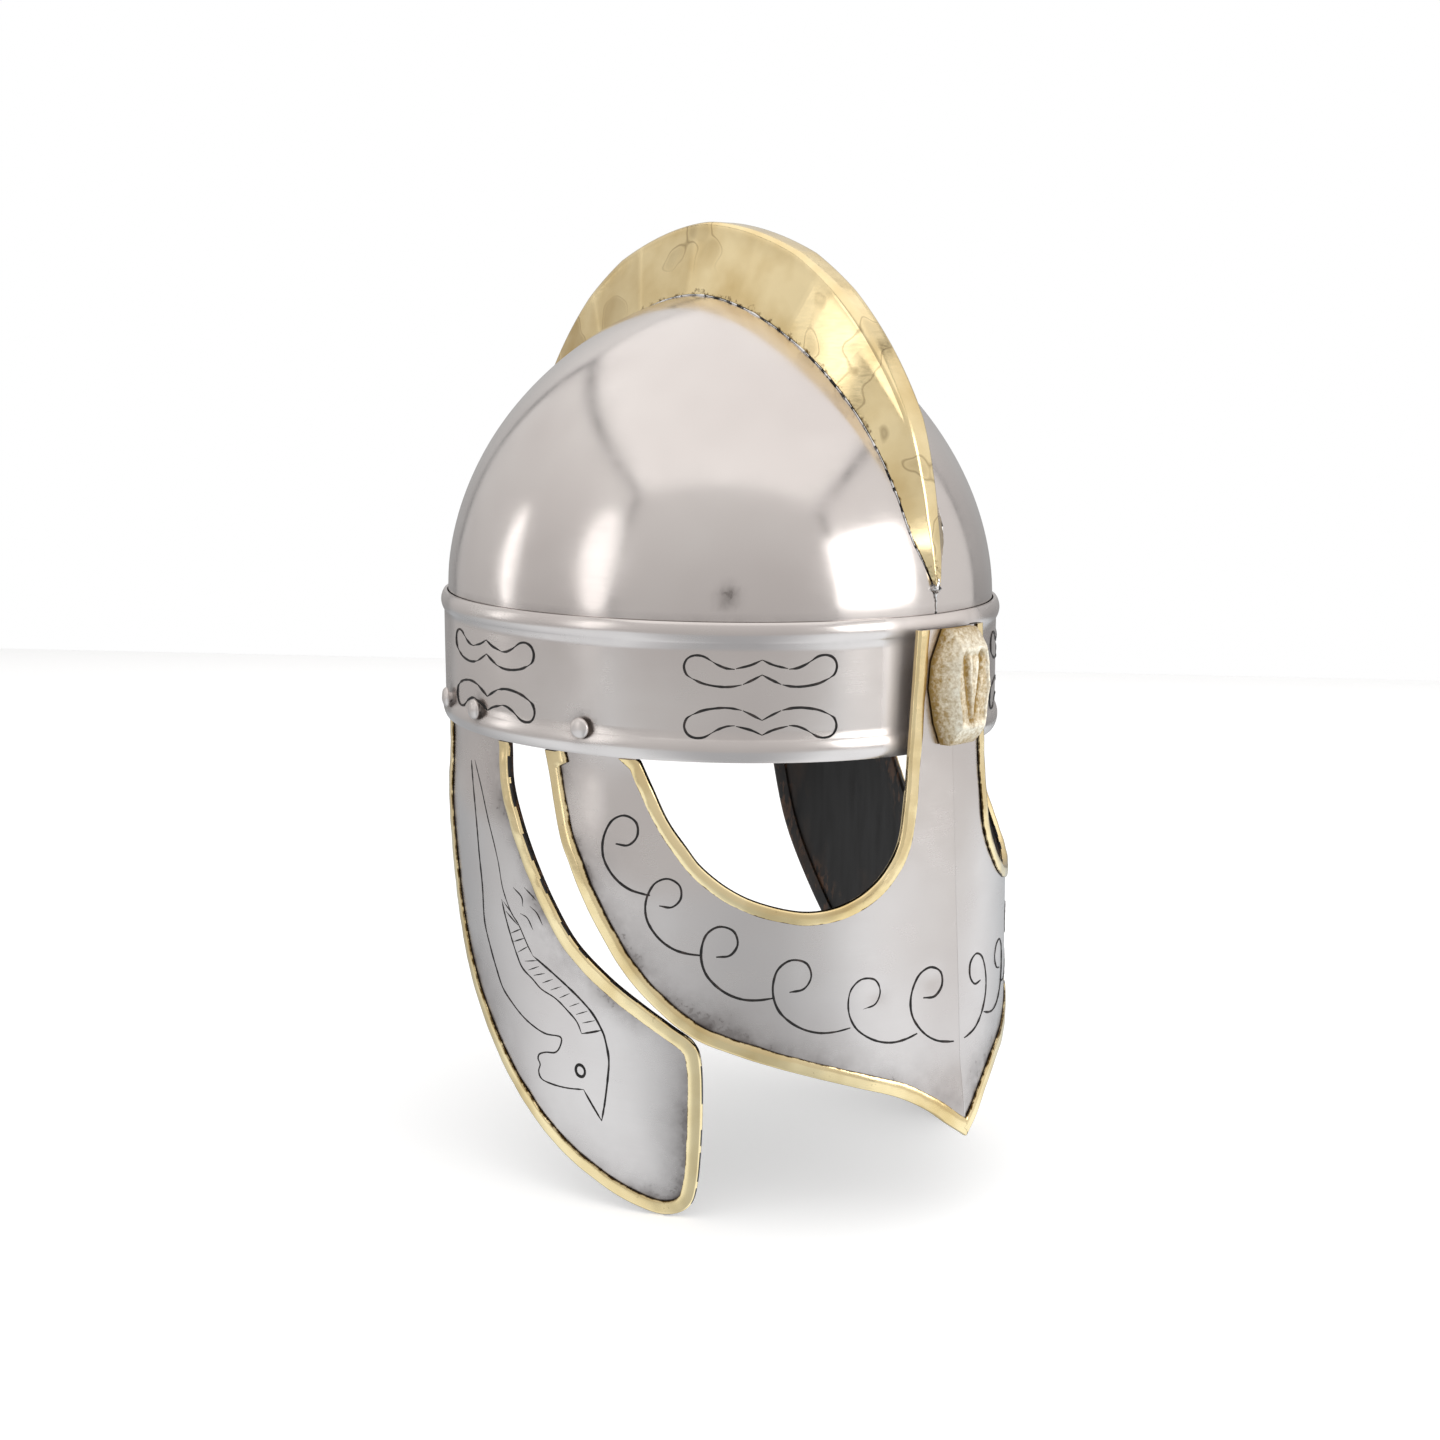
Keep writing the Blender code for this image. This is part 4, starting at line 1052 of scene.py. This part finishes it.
def bead_tree():
    """Geometry nodes: a bead along every line, its radius from the thick attribute, made uneven."""
    tree = bpy.data.node_groups.get("bead_along_lines")
    if tree:
        return tree
    tree = bpy.data.node_groups.new("bead_along_lines", "GeometryNodeTree")
    inputs, output = interface(tree, [
        ("Lines", "NodeSocketGeometry"), ("Radius", "NodeSocketFloat"),
        ("Unevenness", "NodeSocketFloat"), ("Lump Size", "NodeSocketFloat"),
        ("Sides", "NodeSocketInt"), ("Material", "NodeSocketMaterial")])
    curve = add_node(tree, "GeometryNodeMeshToCurve", {"Mesh": inputs["Lines"]})
    thick = add_node(tree, "GeometryNodeInputNamedAttribute", {"Name": "thick"}, data_type="FLOAT")
    lumps = calc(tree, "DIVIDE", 1.0, inputs["Lump Size"])
    wave = add_node(tree, "ShaderNodeTexNoise", {"Scale": lumps, "Detail": 2.0}).outputs["Fac"]
    swell = calc(tree, "MULTIPLY", calc(tree, "SUBTRACT", wave, 0.5), inputs["Unevenness"])
    radius = calc(tree, "MULTIPLY", calc(tree, "ADD", swell, 1.0), inputs["Radius"])
    radius = calc(tree, "MULTIPLY", radius, thick.outputs["Attribute"])
    ring = add_node(tree, "GeometryNodeCurvePrimitiveCircle", {
        "Resolution": inputs["Sides"], "Radius": 1.0}, mode="RADIUS")
    solid = add_node(tree, "GeometryNodeCurveToMesh", {
        "Curve": curve.outputs["Curve"], "Profile Curve": ring.outputs["Curve"],
        "Scale": radius, "Fill Caps": True})
    painted = add_node(tree, "GeometryNodeSetMaterial", {
        "Geometry": solid.outputs["Mesh"], "Material": inputs["Material"]})
    real = add_node(tree, "GeometryNodeRealizeInstances", {"Geometry": painted.outputs["Geometry"]})
    tree.links.new(real.outputs["Geometry"], output.inputs["Geometry"])
    return tree


def grow(context, source, tree, values):
    """Run a node tree on an object and keep the result as its plain mesh."""
    step = source.modifiers.new("grow", "NODES")
    step.node_group = tree
    for item in tree.interface.items_tree:
        if item.in_out == "INPUT" and item.name in values:
            step[item.identifier] = values[item.name]
    context.view_layer.update()
    graph = context.evaluated_depsgraph_get()
    mesh = bpy.data.meshes.new_from_object(source.evaluated_get(graph))
    source.modifiers.remove(step)
    old = source.data
    source.data = mesh
    bpy.data.meshes.remove(old)
    face_outward(mesh)
    mesh.update()
    return source


def lines_object(context, name, lines):
    """Object that holds open lines of points, each with the bead's share of thickness there."""
    mesh = bpy.data.meshes.new(name)
    points, edges, thick = [], [], []
    for line, shares in lines:
        start = len(points)
        points += [tuple(point) for point in line]
        thick += shares
        edges += [(start + k, start + k + 1) for k in range(len(line) - 1)]
    mesh.from_pydata(points, edges, [])
    store(mesh, "thick", thick)
    result = bpy.data.objects.new(name, mesh)
    context.scene.collection.objects.link(result)
    return result


def stroke(flat, surface, sunk, step=0.0008, weight=1.0, blunt=0.35):
    """A chisel stroke on a surface: thin where the chisel enters and leaves."""
    flat = curve_through(flat, step) if len(flat) > 2 else even_line(flat, step)
    length = sum((b - a).length for a, b in zip(flat[:-1], flat[1:]))
    line, shares = [], []
    travelled = 0.0
    for k, point in enumerate(flat):
        if k:
            travelled += (point - flat[k - 1]).length
        near = min(travelled, length - travelled)
        share = weight * (blunt + (1 - blunt) * ramp(0, 0.003, near))
        line.append(surface(*unroll(point), -sunk * share))
        shares.append(share)
    return line, shares


def band_strokes(sunk):
    """Strokes of every band ornament: two mirrored figures at each place."""
    lines = []
    for turn in BAND_TURNS:
        for height, flip in BAND_FIGURES:
            for side in (-1, 1):
                for marks in BAND_STROKES:
                    flat = []
                    for across, up in marks:
                        flat.append(Vector((radians(turn) * MEAN_RADIUS + side * across * MM,
                                            (height + flip * up) * MM)))
                    lines.append(stroke(flat, band_point, sunk))
    return lines


def scroll_strokes(surface, sunk):
    """Strokes of the mask's running scroll."""
    lines = []
    for angle, share, size, turn in SCROLLS:
        middle = Vector((radians(angle) * MEAN_RADIUS, share * MASK_DROP))
        c, s = cos(radians(turn)) * size * MM, sin(radians(turn)) * size * MM
        curl = SCROLL_CURL[:-1] + [SCROLL_SHORT_END if angle in (SCROLLS[0][0], SCROLLS[-1][0])
                                   else SCROLL_CURL[-1]]
        flat = [middle + Vector((c * x - s * y, s * x + c * y)) for x, y in curl]
        lines.append(stroke(flat, surface, sunk, blunt=0.6))
    return lines


def horse_strokes(surface, sunk):
    """Strokes of the cheek plate's horse head and mane."""
    lines = []
    for number, marks in enumerate(HORSE_STROKES):
        flat = [Vector((radians(angle) * MEAN_RADIUS, height * MM)) for angle, height in marks]
        weight = LONG_WEIGHTS[number] if number < len(LONG_WEIGHTS) else MANE_WEIGHT
        lines.append(stroke(flat, surface, sunk, weight=weight))
    angle, height, size = HORSE_EYE
    ring = []
    for k in range(25):
        turn = 2 * pi * k / 24
        ring.append(Vector((radians(angle) * MEAN_RADIUS + size * MM * cos(turn) * 0.9,
                            (height + size * sin(turn)) * MM)))
    lines.append(stroke(ring, surface, sunk, weight=EYE_WEIGHT, blunt=0.9))
    return lines


def engraving(context):
    """Every engraved line, as dark beads sunk in the steel."""
    width = context.scene.helmet_sizes.line_width
    radius = width / 1.9
    sunk = 0.35 * radius
    lines = {"band_engraving": band_strokes(sunk)}
    for label, side in SIDES.items():
        surface = mirrored_surface(mask_point, side)
        lines[f"mask_engraving_{label}"] = scroll_strokes(surface, sunk)
        surface = mirrored_surface(cheek_point, side, CHEEK_TURN[label])
        lines[f"cheek_engraving_{label}"] = horse_strokes(surface, sunk)
    for name, strokes in lines.items():
        source = lines_object(context, name, strokes)
        piece = grow(context, source, bead_tree(), {
            "Radius": radius, "Unevenness": 0.9, "Lump Size": 0.003, "Sides": 8,
            "Material": finish_of(context, "chiselled_groove")})
        hand_over(piece)


def keel_line(context):
    """Burnished fold down the middle of the mask."""
    tip = pattern(MASK_EDGE, MASK_DROP)[0].y + EDGING_WIDTH
    top = NOSE_TOP * BAND_HEIGHT - 0.001
    heights = [tip + (top - tip) * k / 60 for k in range(61)]
    line = [mask_point(0, height, -0.0003) for height in heights]
    source = lines_object(context, "mask_keel", [(line, [1.0] * len(line))])
    piece = grow(context, source, bead_tree(), {
        "Radius": 0.00042, "Unevenness": 0.3, "Lump Size": 0.004, "Sides": 10,
        "Material": finish_of(context, "polished_mild_steel")})
    return hand_over(piece)


def solder(context):
    """Ragged solder along both feet of the crest, and the weld between its front end and the band."""
    lines = []
    for side in SIDES.values():
        line, shares = [], []
        for k in range(401):
            angle = 8 + 164 * k / 400
            share = crest_shares(angle)[2]
            half = share * CREST_FOOT_WIDTH / 2 + 0.0002
            turn = radians(angle)
            reach = bowl_reach(turn, half, 0)
            line.append(Vector((side * half, -cos(turn) * reach, BAND_HEIGHT + sin(turn) * reach)))
            lump = 0.3 + 0.9 * max(0.0, 0.15 + noise.noise(Vector((k / 7, side, 0))))
            shares.append(lump * ramp(0, 10, min(k, 400 - k)))
        lines.append((line, shares))
    weld, shares = [], []
    for k in range(25):
        up = k / 24
        lift = 0.0125 * up
        reach = bowl_reach(lift / HALF_LENGTH, 0, 0)
        weld.append(Vector((0.0008 * noise.noise(Vector((k / 5, 0, 5))), -reach, BAND_HEIGHT + lift)))
        shares.append(0.5 + 3.6 * ramp(0.4, 0.8, up) * (0.8 + 0.5 * noise.noise(Vector((k / 3, 3, 1)))))
    lines.append((weld, shares))
    source = lines_object(context, "crest_solder", lines)
    piece = grow(context, source, bead_tree(), {
        "Radius": 0.0005, "Unevenness": 1.6, "Lump Size": 0.0025, "Sides": 10,
        "Material": finish_of(context, "tin_solder")})
    return hand_over(piece)


def rivet_tree():
    """Geometry nodes: one rivet on each point, its axis along the point's axis attribute."""
    tree = bpy.data.node_groups.new("rivets_on_points", "GeometryNodeTree")
    inputs, output = interface(tree, [
        ("Points", "NodeSocketGeometry"), ("Rivet", "NodeSocketObject"),
        ("Seed", "NodeSocketInt"), ("Material", "NodeSocketMaterial")])
    points = add_node(tree, "GeometryNodeMeshToPoints", {"Mesh": inputs["Points"]})
    rivet = add_node(tree, "GeometryNodeObjectInfo", {"Object": inputs["Rivet"]})
    axis = add_node(tree, "GeometryNodeInputNamedAttribute", {"Name": "axis"},
                    data_type="FLOAT_VECTOR")
    spin = add_node(tree, "FunctionNodeRandomValue", {
        "Min": (0.0, 0.0, 0.0), "Max": (0.0, 0.0, 6.28), "Seed": inputs["Seed"]},
        data_type="FLOAT_VECTOR")
    start = add_node(tree, "FunctionNodeEulerToRotation", {"Euler": spin.outputs[0]})
    aim = add_node(tree, "FunctionNodeAlignRotationToVector", {
        "Rotation": start.outputs[0], "Vector": axis.outputs["Attribute"]}, axis="Z")
    placed = add_node(tree, "GeometryNodeInstanceOnPoints", {
        "Points": points.outputs["Points"], "Instance": rivet.outputs["Geometry"],
        "Rotation": aim.outputs["Rotation"]})
    real = add_node(tree, "GeometryNodeRealizeInstances", {"Geometry": placed.outputs["Instances"]})
    painted = add_node(tree, "GeometryNodeSetMaterial", {
        "Geometry": real.outputs["Geometry"], "Material": inputs["Material"]})
    tree.links.new(painted.outputs["Geometry"], output.inputs["Geometry"])
    return tree


def rivet_pattern(context):
    """One rivet at the origin, its head toward +Z, hammered a little uneven."""
    head = RIVET_HEAD / 2
    tail = TAB_FACE - SHEET - 2 * CLEAR
    profile = [(0.0, tail - 0.2 * head), (0.5 * head, tail - 0.2 * head), (0.72 * head, tail - 0.08 * head),
               (0.75 * head, tail), (0.5 * head, tail), (0.5 * head, 0.0), (0.97 * head, 0.0),
               (1.0 * head, 0.06 * head)]
    for k in range(1, 9):
        turn = pi / 2 * k / 9
        profile.append((head * cos(turn) ** 0.8, 0.06 * head + 0.46 * head * sin(turn)))
    profile.append((0.0, 0.53 * head))
    parts = 28
    points = []
    for radius, along in profile[1:-1]:
        for k in range(parts):
            turn = 2 * pi * k / parts
            spot = Vector((radius * cos(turn), radius * sin(turn), along))
            push = 0.00013 * noise.noise(spot / 0.0022) * (along > 0.1 * head)
            points.append(spot * (1 - 0.02 * (noise.noise(spot / 0.004) + 0.5)) + Vector((0, 0, push)))
    faces = strip_faces(len(profile) - 2, parts)
    for start, (radius, along) in ((0, profile[0]), (len(points) - parts, profile[-1])):
        points.append(Vector((0, 0, along)))
        faces += [(start + k, start + (k + 1) % parts, len(points) - 1) for k in range(parts)]
    return mesh_piece(context, "rivet_pattern", points, faces, ["hammered_rivet_steel"], sharp=60)


def rivets(context):
    """Six rivets through the band."""
    places, nodes = [], []
    for label, side in SIDES.items():
        places.append(side * MASK_RIVET_ANGLE)
        nodes.append(f"mask_rivet_{label}")
        for end, angle in CHEEK_RIVET_ANGLES.items():
            places.append(side * (angle + CHEEK_TURN[label]))
            nodes.append(f"cheek_rivet_{label}_{end}")
    mesh = bpy.data.meshes.new("rivets")
    mesh.from_pydata([tuple(wall_point(angle, RIVET_HEIGHT, CLEAR)) for angle in places], [], [])
    axes = mesh.attributes.new("axis", "FLOAT_VECTOR", "POINT")
    axes.data.foreach_set("vector", [part for angle in places for part in wall_normal(angle)])
    source = bpy.data.objects.new("rivets", mesh)
    context.scene.collection.objects.link(source)
    pattern_piece = rivet_pattern(context)
    piece = grow(context, source, rivet_tree(), {
        "Rivet": pattern_piece, "Seed": 4, "Material": finish_of(context, "hammered_rivet_steel")})
    bpy.data.objects.remove(pattern_piece)
    return hand_over(piece, nodes)


def boss_half_width(share):
    """Half width of the boss at a share of its height."""
    for low, high in zip(BOSS_OUTLINE[1:-2], BOSS_OUTLINE[2:-1]):
        if share <= high[1]:
            t = (share - low[1]) / (high[1] - low[1])
            return (low[0] + (high[0] - low[0]) * max(0.0, t)) * BOSS_WIDTH / 2
    return BOSS_OUTLINE[-2][0] * BOSS_WIDTH / 2


def boss(context):
    """Cast boss: sloping flanks round a raised rim, with a leaf of converging ribs inside."""
    middle = BAND_HEIGHT / 2
    seat = mask_point(0, middle, 2 * CLEAR)
    front = seat.y - BOSS_REACH
    rows, columns = 90, 64
    points, grime_and_shade = [], []
    for row in range(rows + 1):
        share = 0.02 + 0.96 * row / rows
        half = boss_half_width(share)
        for column in range(columns + 1):
            across = -1 + 2 * column / columns
            x = across * half
            height = middle + (share - 0.5) * BOSS_HEIGHT
            inner = abs(across) / BOSS_FACE
            end = min(share, 1 - share) / (0.5 * (1 - BOSS_FACE))
            face = max(0.0, min(1.0, (1 - abs(across)) / (1 - BOSS_FACE), end))
            back = mask_point(degrees(x / HALF_WIDTH), height, 2 * CLEAR).y - 0.3 * BOSS_REACH
            y = back + (front - back) * min(1.0, face ** 0.8)
            hollow = 0.0
            if face >= 0.999:
                rim = min((BOSS_FACE - abs(across)) / BOSS_FACE, (end - 1) * 0.35)
                hollow = 0.0009 * ramp(0.03, 0.16, rim)
                leaf = (inner - 0.85 * (share - 0.1)) / 0.13
                hollow += 0.0012 * exp(-leaf * leaf) * ramp(0.0, 0.1, rim)
                hollow -= 0.0008 * exp(-((inner - 0.35 * (share - 0.1)) / 0.12) ** 2) * ramp(0.1, 0.2, rim)
            grain = 0.00015 * noise.noise(Vector((x, height, 2.0)) / 0.001)
            grain += 0.0005 * noise.noise(Vector((x, height, 8.0)) / 0.006)
            points.append(Vector((x, y + hollow + grain * ramp(0.0, 0.1, face), height)))
            # Painted shade on the sloping flanks, and brown in the hollows of the casting
            grime_and_shade.append(min(1.0, 0.55 * (1 - face) + 450 * max(0.0, hollow)))
    wide = columns + 1
    faces = strip_faces(rows + 1, wide, close_columns=False)
    front_count = len(points)
    for row in range(rows + 1):
        share = 0.02 + 0.96 * row / rows
        height = middle + (share - 0.5) * BOSS_HEIGHT
        for column in range(columns + 1):
            x = (-1 + 2 * column / columns) * boss_half_width(share)
            points.append(mask_point(degrees(x / HALF_WIDTH), height, 2 * CLEAR))
            grime_and_shade.append(1.0)
    faces += [tuple(front_count + k for k in reversed(face)) for face in strip_faces(
        rows + 1, wide, close_columns=False)]
    rim = list(range(wide)) + [row * wide + columns for row in range(1, rows + 1)]
    rim += [rows * wide + k for k in range(columns - 1, -1, -1)]
    rim += [row * wide for row in range(rows - 1, 0, -1)]
    for a, b in zip(rim, rim[1:] + rim[:1]):
        faces.append((b, a, front_count + a, front_count + b))
    piece = mesh_piece(context, "boss", points, faces, ["sand_cast_brass"], grime_and_shade, sharp=50)
    return hand_over(piece, ["brow_boss"])


def flat_panel(context, name, corners, low, high, grey=0.0):
    """Glowing panel of the light tent, from its low strength at the floor to its high one on top."""
    mesh = bpy.data.meshes.new(name)
    mesh.from_pydata(corners, [], [tuple(range(len(corners)))])
    material, tree, shader, place = new_material(name)
    height = add_node(tree, "ShaderNodeSeparateXYZ", {"Vector": place}).outputs["Z"]
    strength = remap(tree, height, corners[0].z, corners[2].z, low, high)
    tree.links.new(strength, shader.inputs["Emission Strength"])
    shader.inputs["Emission Color"].default_value = (1, 0.995, 0.99, 1)
    shader.inputs["Base Color"].default_value = (grey, grey, grey, 1)
    shader.inputs["Roughness"].default_value = 0.95
    shader.inputs["Specular IOR Level"].default_value = 0.0
    mesh.materials.append(material)
    panel = bpy.data.objects.new(name, mesh)
    context.scene.collection.objects.link(panel)
    return panel


def room(context, ahead, across):
    """What the metal sees past the tent: a dim room above, and a ground darkest in front and at the
    rear left and brightest at the right. The camera sees a plain white wall there."""
    world = bpy.data.worlds.new("dim_room")
    world.use_nodes = True
    tree = world.node_tree
    way = add_node(tree, "ShaderNodeTexCoord").outputs["Generated"]
    height = add_node(tree, "ShaderNodeSeparateXYZ", {"Vector": way}).outputs["Z"]
    level = add_node(tree, "ShaderNodeVectorMath", {0: way, 1: (1, 1, 0)}, operation="MULTIPLY")
    flat = add_node(tree, "ShaderNodeVectorMath", {0: level.outputs[0]}, operation="NORMALIZE")
    front, left, right = (
        add_node(tree, "ShaderNodeVectorMath", {0: flat.outputs[0], 1: direction},
                 operation="DOT_PRODUCT").outputs["Value"]
        for direction in (ahead, -ahead - 0.5 * across, across))
    ground = calc(tree, "MULTIPLY", remap(tree, front, 0.98, 0.72, 0.62, 1.1),
                  remap(tree, left, 0.3, 1.0, 1.0, 0.5))
    ground = calc(tree, "MULTIPLY", ground, remap(tree, right, 0.3, 0.8, 1.0, 1.12))
    below = remap(tree, height, -0.1, -0.16)
    seen = add_node(tree, "ShaderNodeMix", {0: below, 2: 0.1, 3: ground}).outputs[0]
    camera = add_node(tree, "ShaderNodeLightPath").outputs["Is Camera Ray"]
    strength = add_node(tree, "ShaderNodeMix", {0: camera, 2: seen, 3: 1.0}).outputs[0]
    background = tree.nodes["Background"]
    cool = blend_colour(tree, calc(tree, "SUBTRACT", 1.0, camera), (1, 1, 1, 1), (0.93, 0.985, 1.03, 1))
    tree.links.new(cool, background.inputs["Color"])
    tree.links.new(strength, background.inputs["Strength"])
    context.scene.world = world


def lamp(context, name, shape, azimuth, rise, width, height, glow):
    """Upright soft lamp aimed at the helmet."""
    light = bpy.data.lights.new(name, "AREA")
    light.shape = shape
    light.size, light.size_y = width, height
    light.energy = glow * pi * width * height * (pi / 4 if shape == "ELLIPSE" else 1)
    holder = bpy.data.objects.new(name, light)
    turn, rise = radians(azimuth), radians(rise)
    way = Vector((sin(turn) * cos(rise), -cos(turn) * cos(rise), sin(rise)))
    holder.location = way * LAMP_DISTANCE
    holder.rotation_euler = way.to_track_quat("Z", "Y").to_euler()
    context.scene.collection.objects.link(holder)


def stage(context):
    """Pale floor, a white light tent with thin seams, three soft lamps and the camera."""
    scene = context.scene
    scene.view_settings.view_transform = "Standard"
    scene.view_settings.look = "None"
    low = CAD_BOX[0][2] - 0.0003
    half = scene.helmet_sizes.tent_half
    top = low + TENT_RISE * half
    turn = radians(CAMERA_TURN + TENT_TURN)
    ahead = Vector((sin(turn), -cos(turn), 0))
    across = Vector((cos(turn), sin(turn), 0))
    up = Vector((0, 0, 1))
    open_half = half * (1 - SEAM_SHARE)
    foot = low - 0.12 * half
    seam = SEAM_SHARE * half

    def level_corners(half_across, height):
        return [ahead * a * half + across * b * half_across + up * height
                for a, b in ((-1, -1), (1, -1), (1, 1), (-1, 1))]

    for name, facing, sideways, gap, dim, bright in (
            ("tent_front", ahead, across, 0, 0.62, 0.85), ("tent_back", -ahead, across, seam, 0.3, 1.0),
            ("tent_right", across, ahead, seam, 0.8, 1.05), ("tent_left", -across, ahead, seam, 0.55, 1.0)):
        corners = [facing * half + sideways * side * open_half + up * height for side, height in (
            (-1, foot), (1, foot), (1, top - gap), (-1, top - gap))]
        flat_panel(context, name, corners, dim, bright).visible_camera = False
    flat_panel(context, "tent_top", level_corners(open_half, top), 1.2, 1.2).visible_camera = False
    flat_panel(context, "floor", level_corners(half, low), 0.4, 0.4, 0.8).visible_glossy = False
    room(context, ahead, across)
    for name, shape, azimuth, *rest in LAMPS:
        lamp(context, name, shape, CAMERA_TURN + azimuth, *rest)
    camera = bpy.data.cameras.new("camera")
    camera.sensor_width = 36
    camera.lens = CAMERA_LENS
    camera.clip_start = 0.05
    turn, rise = radians(CAMERA_TURN), radians(CAMERA_RISE)
    place = CAMERA_DISTANCE * Vector((sin(turn) * cos(rise), -cos(turn) * cos(rise), sin(rise)))
    aim = CAMERA_AIM[0] * Vector((cos(turn), sin(turn), 0)) + Vector((0, 0, CAMERA_AIM[1]))
    holder = bpy.data.objects.new("camera", camera)
    holder.location = place
    holder.rotation_euler = (aim - place).to_track_quat("-Z", "Y").to_euler()
    scene.collection.objects.link(holder)
    scene.camera = holder


class HelmetSizes(bpy.types.PropertyGroup):
    """Sizes of the finished surface."""
    line_width: FloatProperty(
        name="Engraved line", description="Width of the chisel cuts", default=0.0009,
        min=0.0002, max=0.002, unit="LENGTH", precision=5)
    crease_depth: FloatProperty(
        name="Crest creases", description="How far the crest's hammered flats stand in and out",
        default=0.0006, min=0.0, max=0.002, unit="LENGTH", precision=5)
    sheet_step: FloatProperty(
        name="Sheet mesh", description="Spacing of the mesh on the sheets", default=0.0024,
        min=0.001, max=0.01, unit="LENGTH", precision=5)
    edging_step: FloatProperty(
        name="Edging mesh", description="Spacing of the sections along an edging", default=0.0012,
        min=0.0005, max=0.01, unit="LENGTH", precision=5)
    round_parts: IntProperty(
        name="Round parts", description="Sections round the bowl and band", default=288,
        min=48, max=400)
    tent_half: FloatProperty(
        name="Light tent", description="Half the side of the light tent", default=1.3,
        min=1.0, max=4.0, unit="LENGTH")


def colour_property(label, text, code):
    """Colour setting with its default from a hex value."""
    return FloatVectorProperty(name=label, description=text, subtype="COLOR", size=3, min=0, max=1,
                               default=linear(code))


class HelmetFinish(bpy.types.PropertyGroup):
    """Colours of the finishes, and how worn they are."""
    # Also sets how much painted shade the steel's smoke lays beside the nosepiece and along the bowl's foot
    smoke_and_shade_share: FloatProperty(
        name="Wear", description="Share of smoke left beside the edgings", default=1.0,
        min=0.0, max=1.0, subtype="FACTOR")
    steel: colour_property("Steel", "Polished steel", "#D9D2CE")
    steel_shade: colour_property("Steel shade", "Slower polished patches of the steel", "#CFC7C3")
    # Also the colour of the painted shade on the steel
    oxide_and_shade: colour_property("Oxide", "Oxide left beside the edgings", "#3F332F")
    paint: colour_property("Paint", "Black paint inside", "#1A1614")
    rubbed_paint: colour_property("Rubbed paint", "Worn places of the paint", "#66462F")
    brass: colour_property("Brass", "Buffed brass", "#F7E2B2")
    brass_shade: colour_property("Brass shade", "Redder patches of the brass", "#DABE86")
    # Also the colour of the painted shade on the crest's flats
    tarnish_and_shade: colour_property("Tarnish", "Stains and specks on the brass", "#5A431C")
    gilt: colour_property("Boss high spots", "Bright grains of the cast boss", "#FBF4E2")
    # Also the colour of the painted shade on the boss's flanks
    gilt_shade: colour_property("Boss hollows", "Brown hollows of the cast boss", "#A88A52")
    groove: colour_property("Groove", "Residue in the chisel cuts", "#0B0807")
    solder: colour_property("Solder", "Tin solder", "#E4E3E2")


class HELMET_OT_stage(bpy.types.Operator):
    """Pale floor, soft lights and the camera"""
    bl_idname = "helmet.stage"
    bl_label = "Stage"

    def execute(self, context):
        stage(context)
        return {"FINISHED"}


class HELMET_OT_bowl(bpy.types.Operator):
    """Polished bowl of the helmet"""
    bl_idname = "helmet.bowl"
    bl_label = "Bowl"

    def execute(self, context):
        bowl(context)
        return {"FINISHED"}


class HELMET_OT_band(bpy.types.Operator):
    """Beaded band round the rim"""
    bl_idname = "helmet.band"
    bl_label = "Brow band"

    def execute(self, context):
        band(context)
        return {"FINISHED"}


class HELMET_OT_crest(bpy.types.Operator):
    """Brass crest with its solder"""
    bl_idname = "helmet.crest"
    bl_label = "Crest"

    def execute(self, context):
        crest(context)
        solder(context)
        return {"FINISHED"}


class HELMET_OT_sheets(bpy.types.Operator):
    """Face mask and cheek plates"""
    bl_idname = "helmet.sheets"
    bl_label = "Mask and cheek plates"

    def execute(self, context):
        face_mask(context)
        keel_line(context)
        cheek_plates(context)
        return {"FINISHED"}


class HELMET_OT_edgings(bpy.types.Operator):
    """Folded brass edgings"""
    bl_idname = "helmet.edgings"
    bl_label = "Edgings"

    def execute(self, context):
        edgings(context)
        return {"FINISHED"}


class HELMET_OT_rivets(bpy.types.Operator):
    """Rivets through the band"""
    bl_idname = "helmet.rivets"
    bl_label = "Rivets"

    def execute(self, context):
        rivets(context)
        return {"FINISHED"}


class HELMET_OT_boss(bpy.types.Operator):
    """Cast boss on the brow"""
    bl_idname = "helmet.boss"
    bl_label = "Boss"

    def execute(self, context):
        boss(context)
        return {"FINISHED"}


class HELMET_OT_engraving(bpy.types.Operator):
    """Engraved lines of the band, mask and cheek plates"""
    bl_idname = "helmet.engraving"
    bl_label = "Engraving"

    def execute(self, context):
        engraving(context)
        return {"FINISHED"}


OPERATORS = (HELMET_OT_stage, HELMET_OT_bowl, HELMET_OT_band, HELMET_OT_crest, HELMET_OT_sheets,
             HELMET_OT_edgings, HELMET_OT_rivets, HELMET_OT_boss, HELMET_OT_engraving)


class HELMET_PT_sidebar(bpy.types.Panel):
    """Settings and pieces of the helmet"""
    bl_label = "Helmet"
    bl_space_type = "VIEW_3D"
    bl_region_type = "UI"
    bl_category = "Helmet"

    def draw(self, context):
        for group in (context.scene.helmet_sizes, context.scene.helmet_finish):
            for name in group.__annotations__:
                self.layout.prop(group, name)
        for operator in OPERATORS:
            self.layout.operator(operator.bl_idname)


CLASSES = (HelmetSizes, HelmetFinish, *OPERATORS, HELMET_PT_sidebar)


def register():
    """Register the classes and the scene's settings."""
    for item in CLASSES:
        bpy.utils.register_class(item)
    bpy.types.Scene.helmet_sizes = PointerProperty(type=HelmetSizes)
    bpy.types.Scene.helmet_finish = PointerProperty(type=HelmetFinish)


def unregister():
    """Remove the settings and the classes."""
    del bpy.types.Scene.helmet_finish
    del bpy.types.Scene.helmet_sizes
    for item in reversed(CLASSES):
        bpy.utils.unregister_class(item)


def main():
    """Build the stage and every piece."""
    register()
    for operator in OPERATORS:
        group, name = operator.bl_idname.split(".")
        getattr(getattr(bpy.ops, group), name)()


if __name__ == "__main__":
    main()
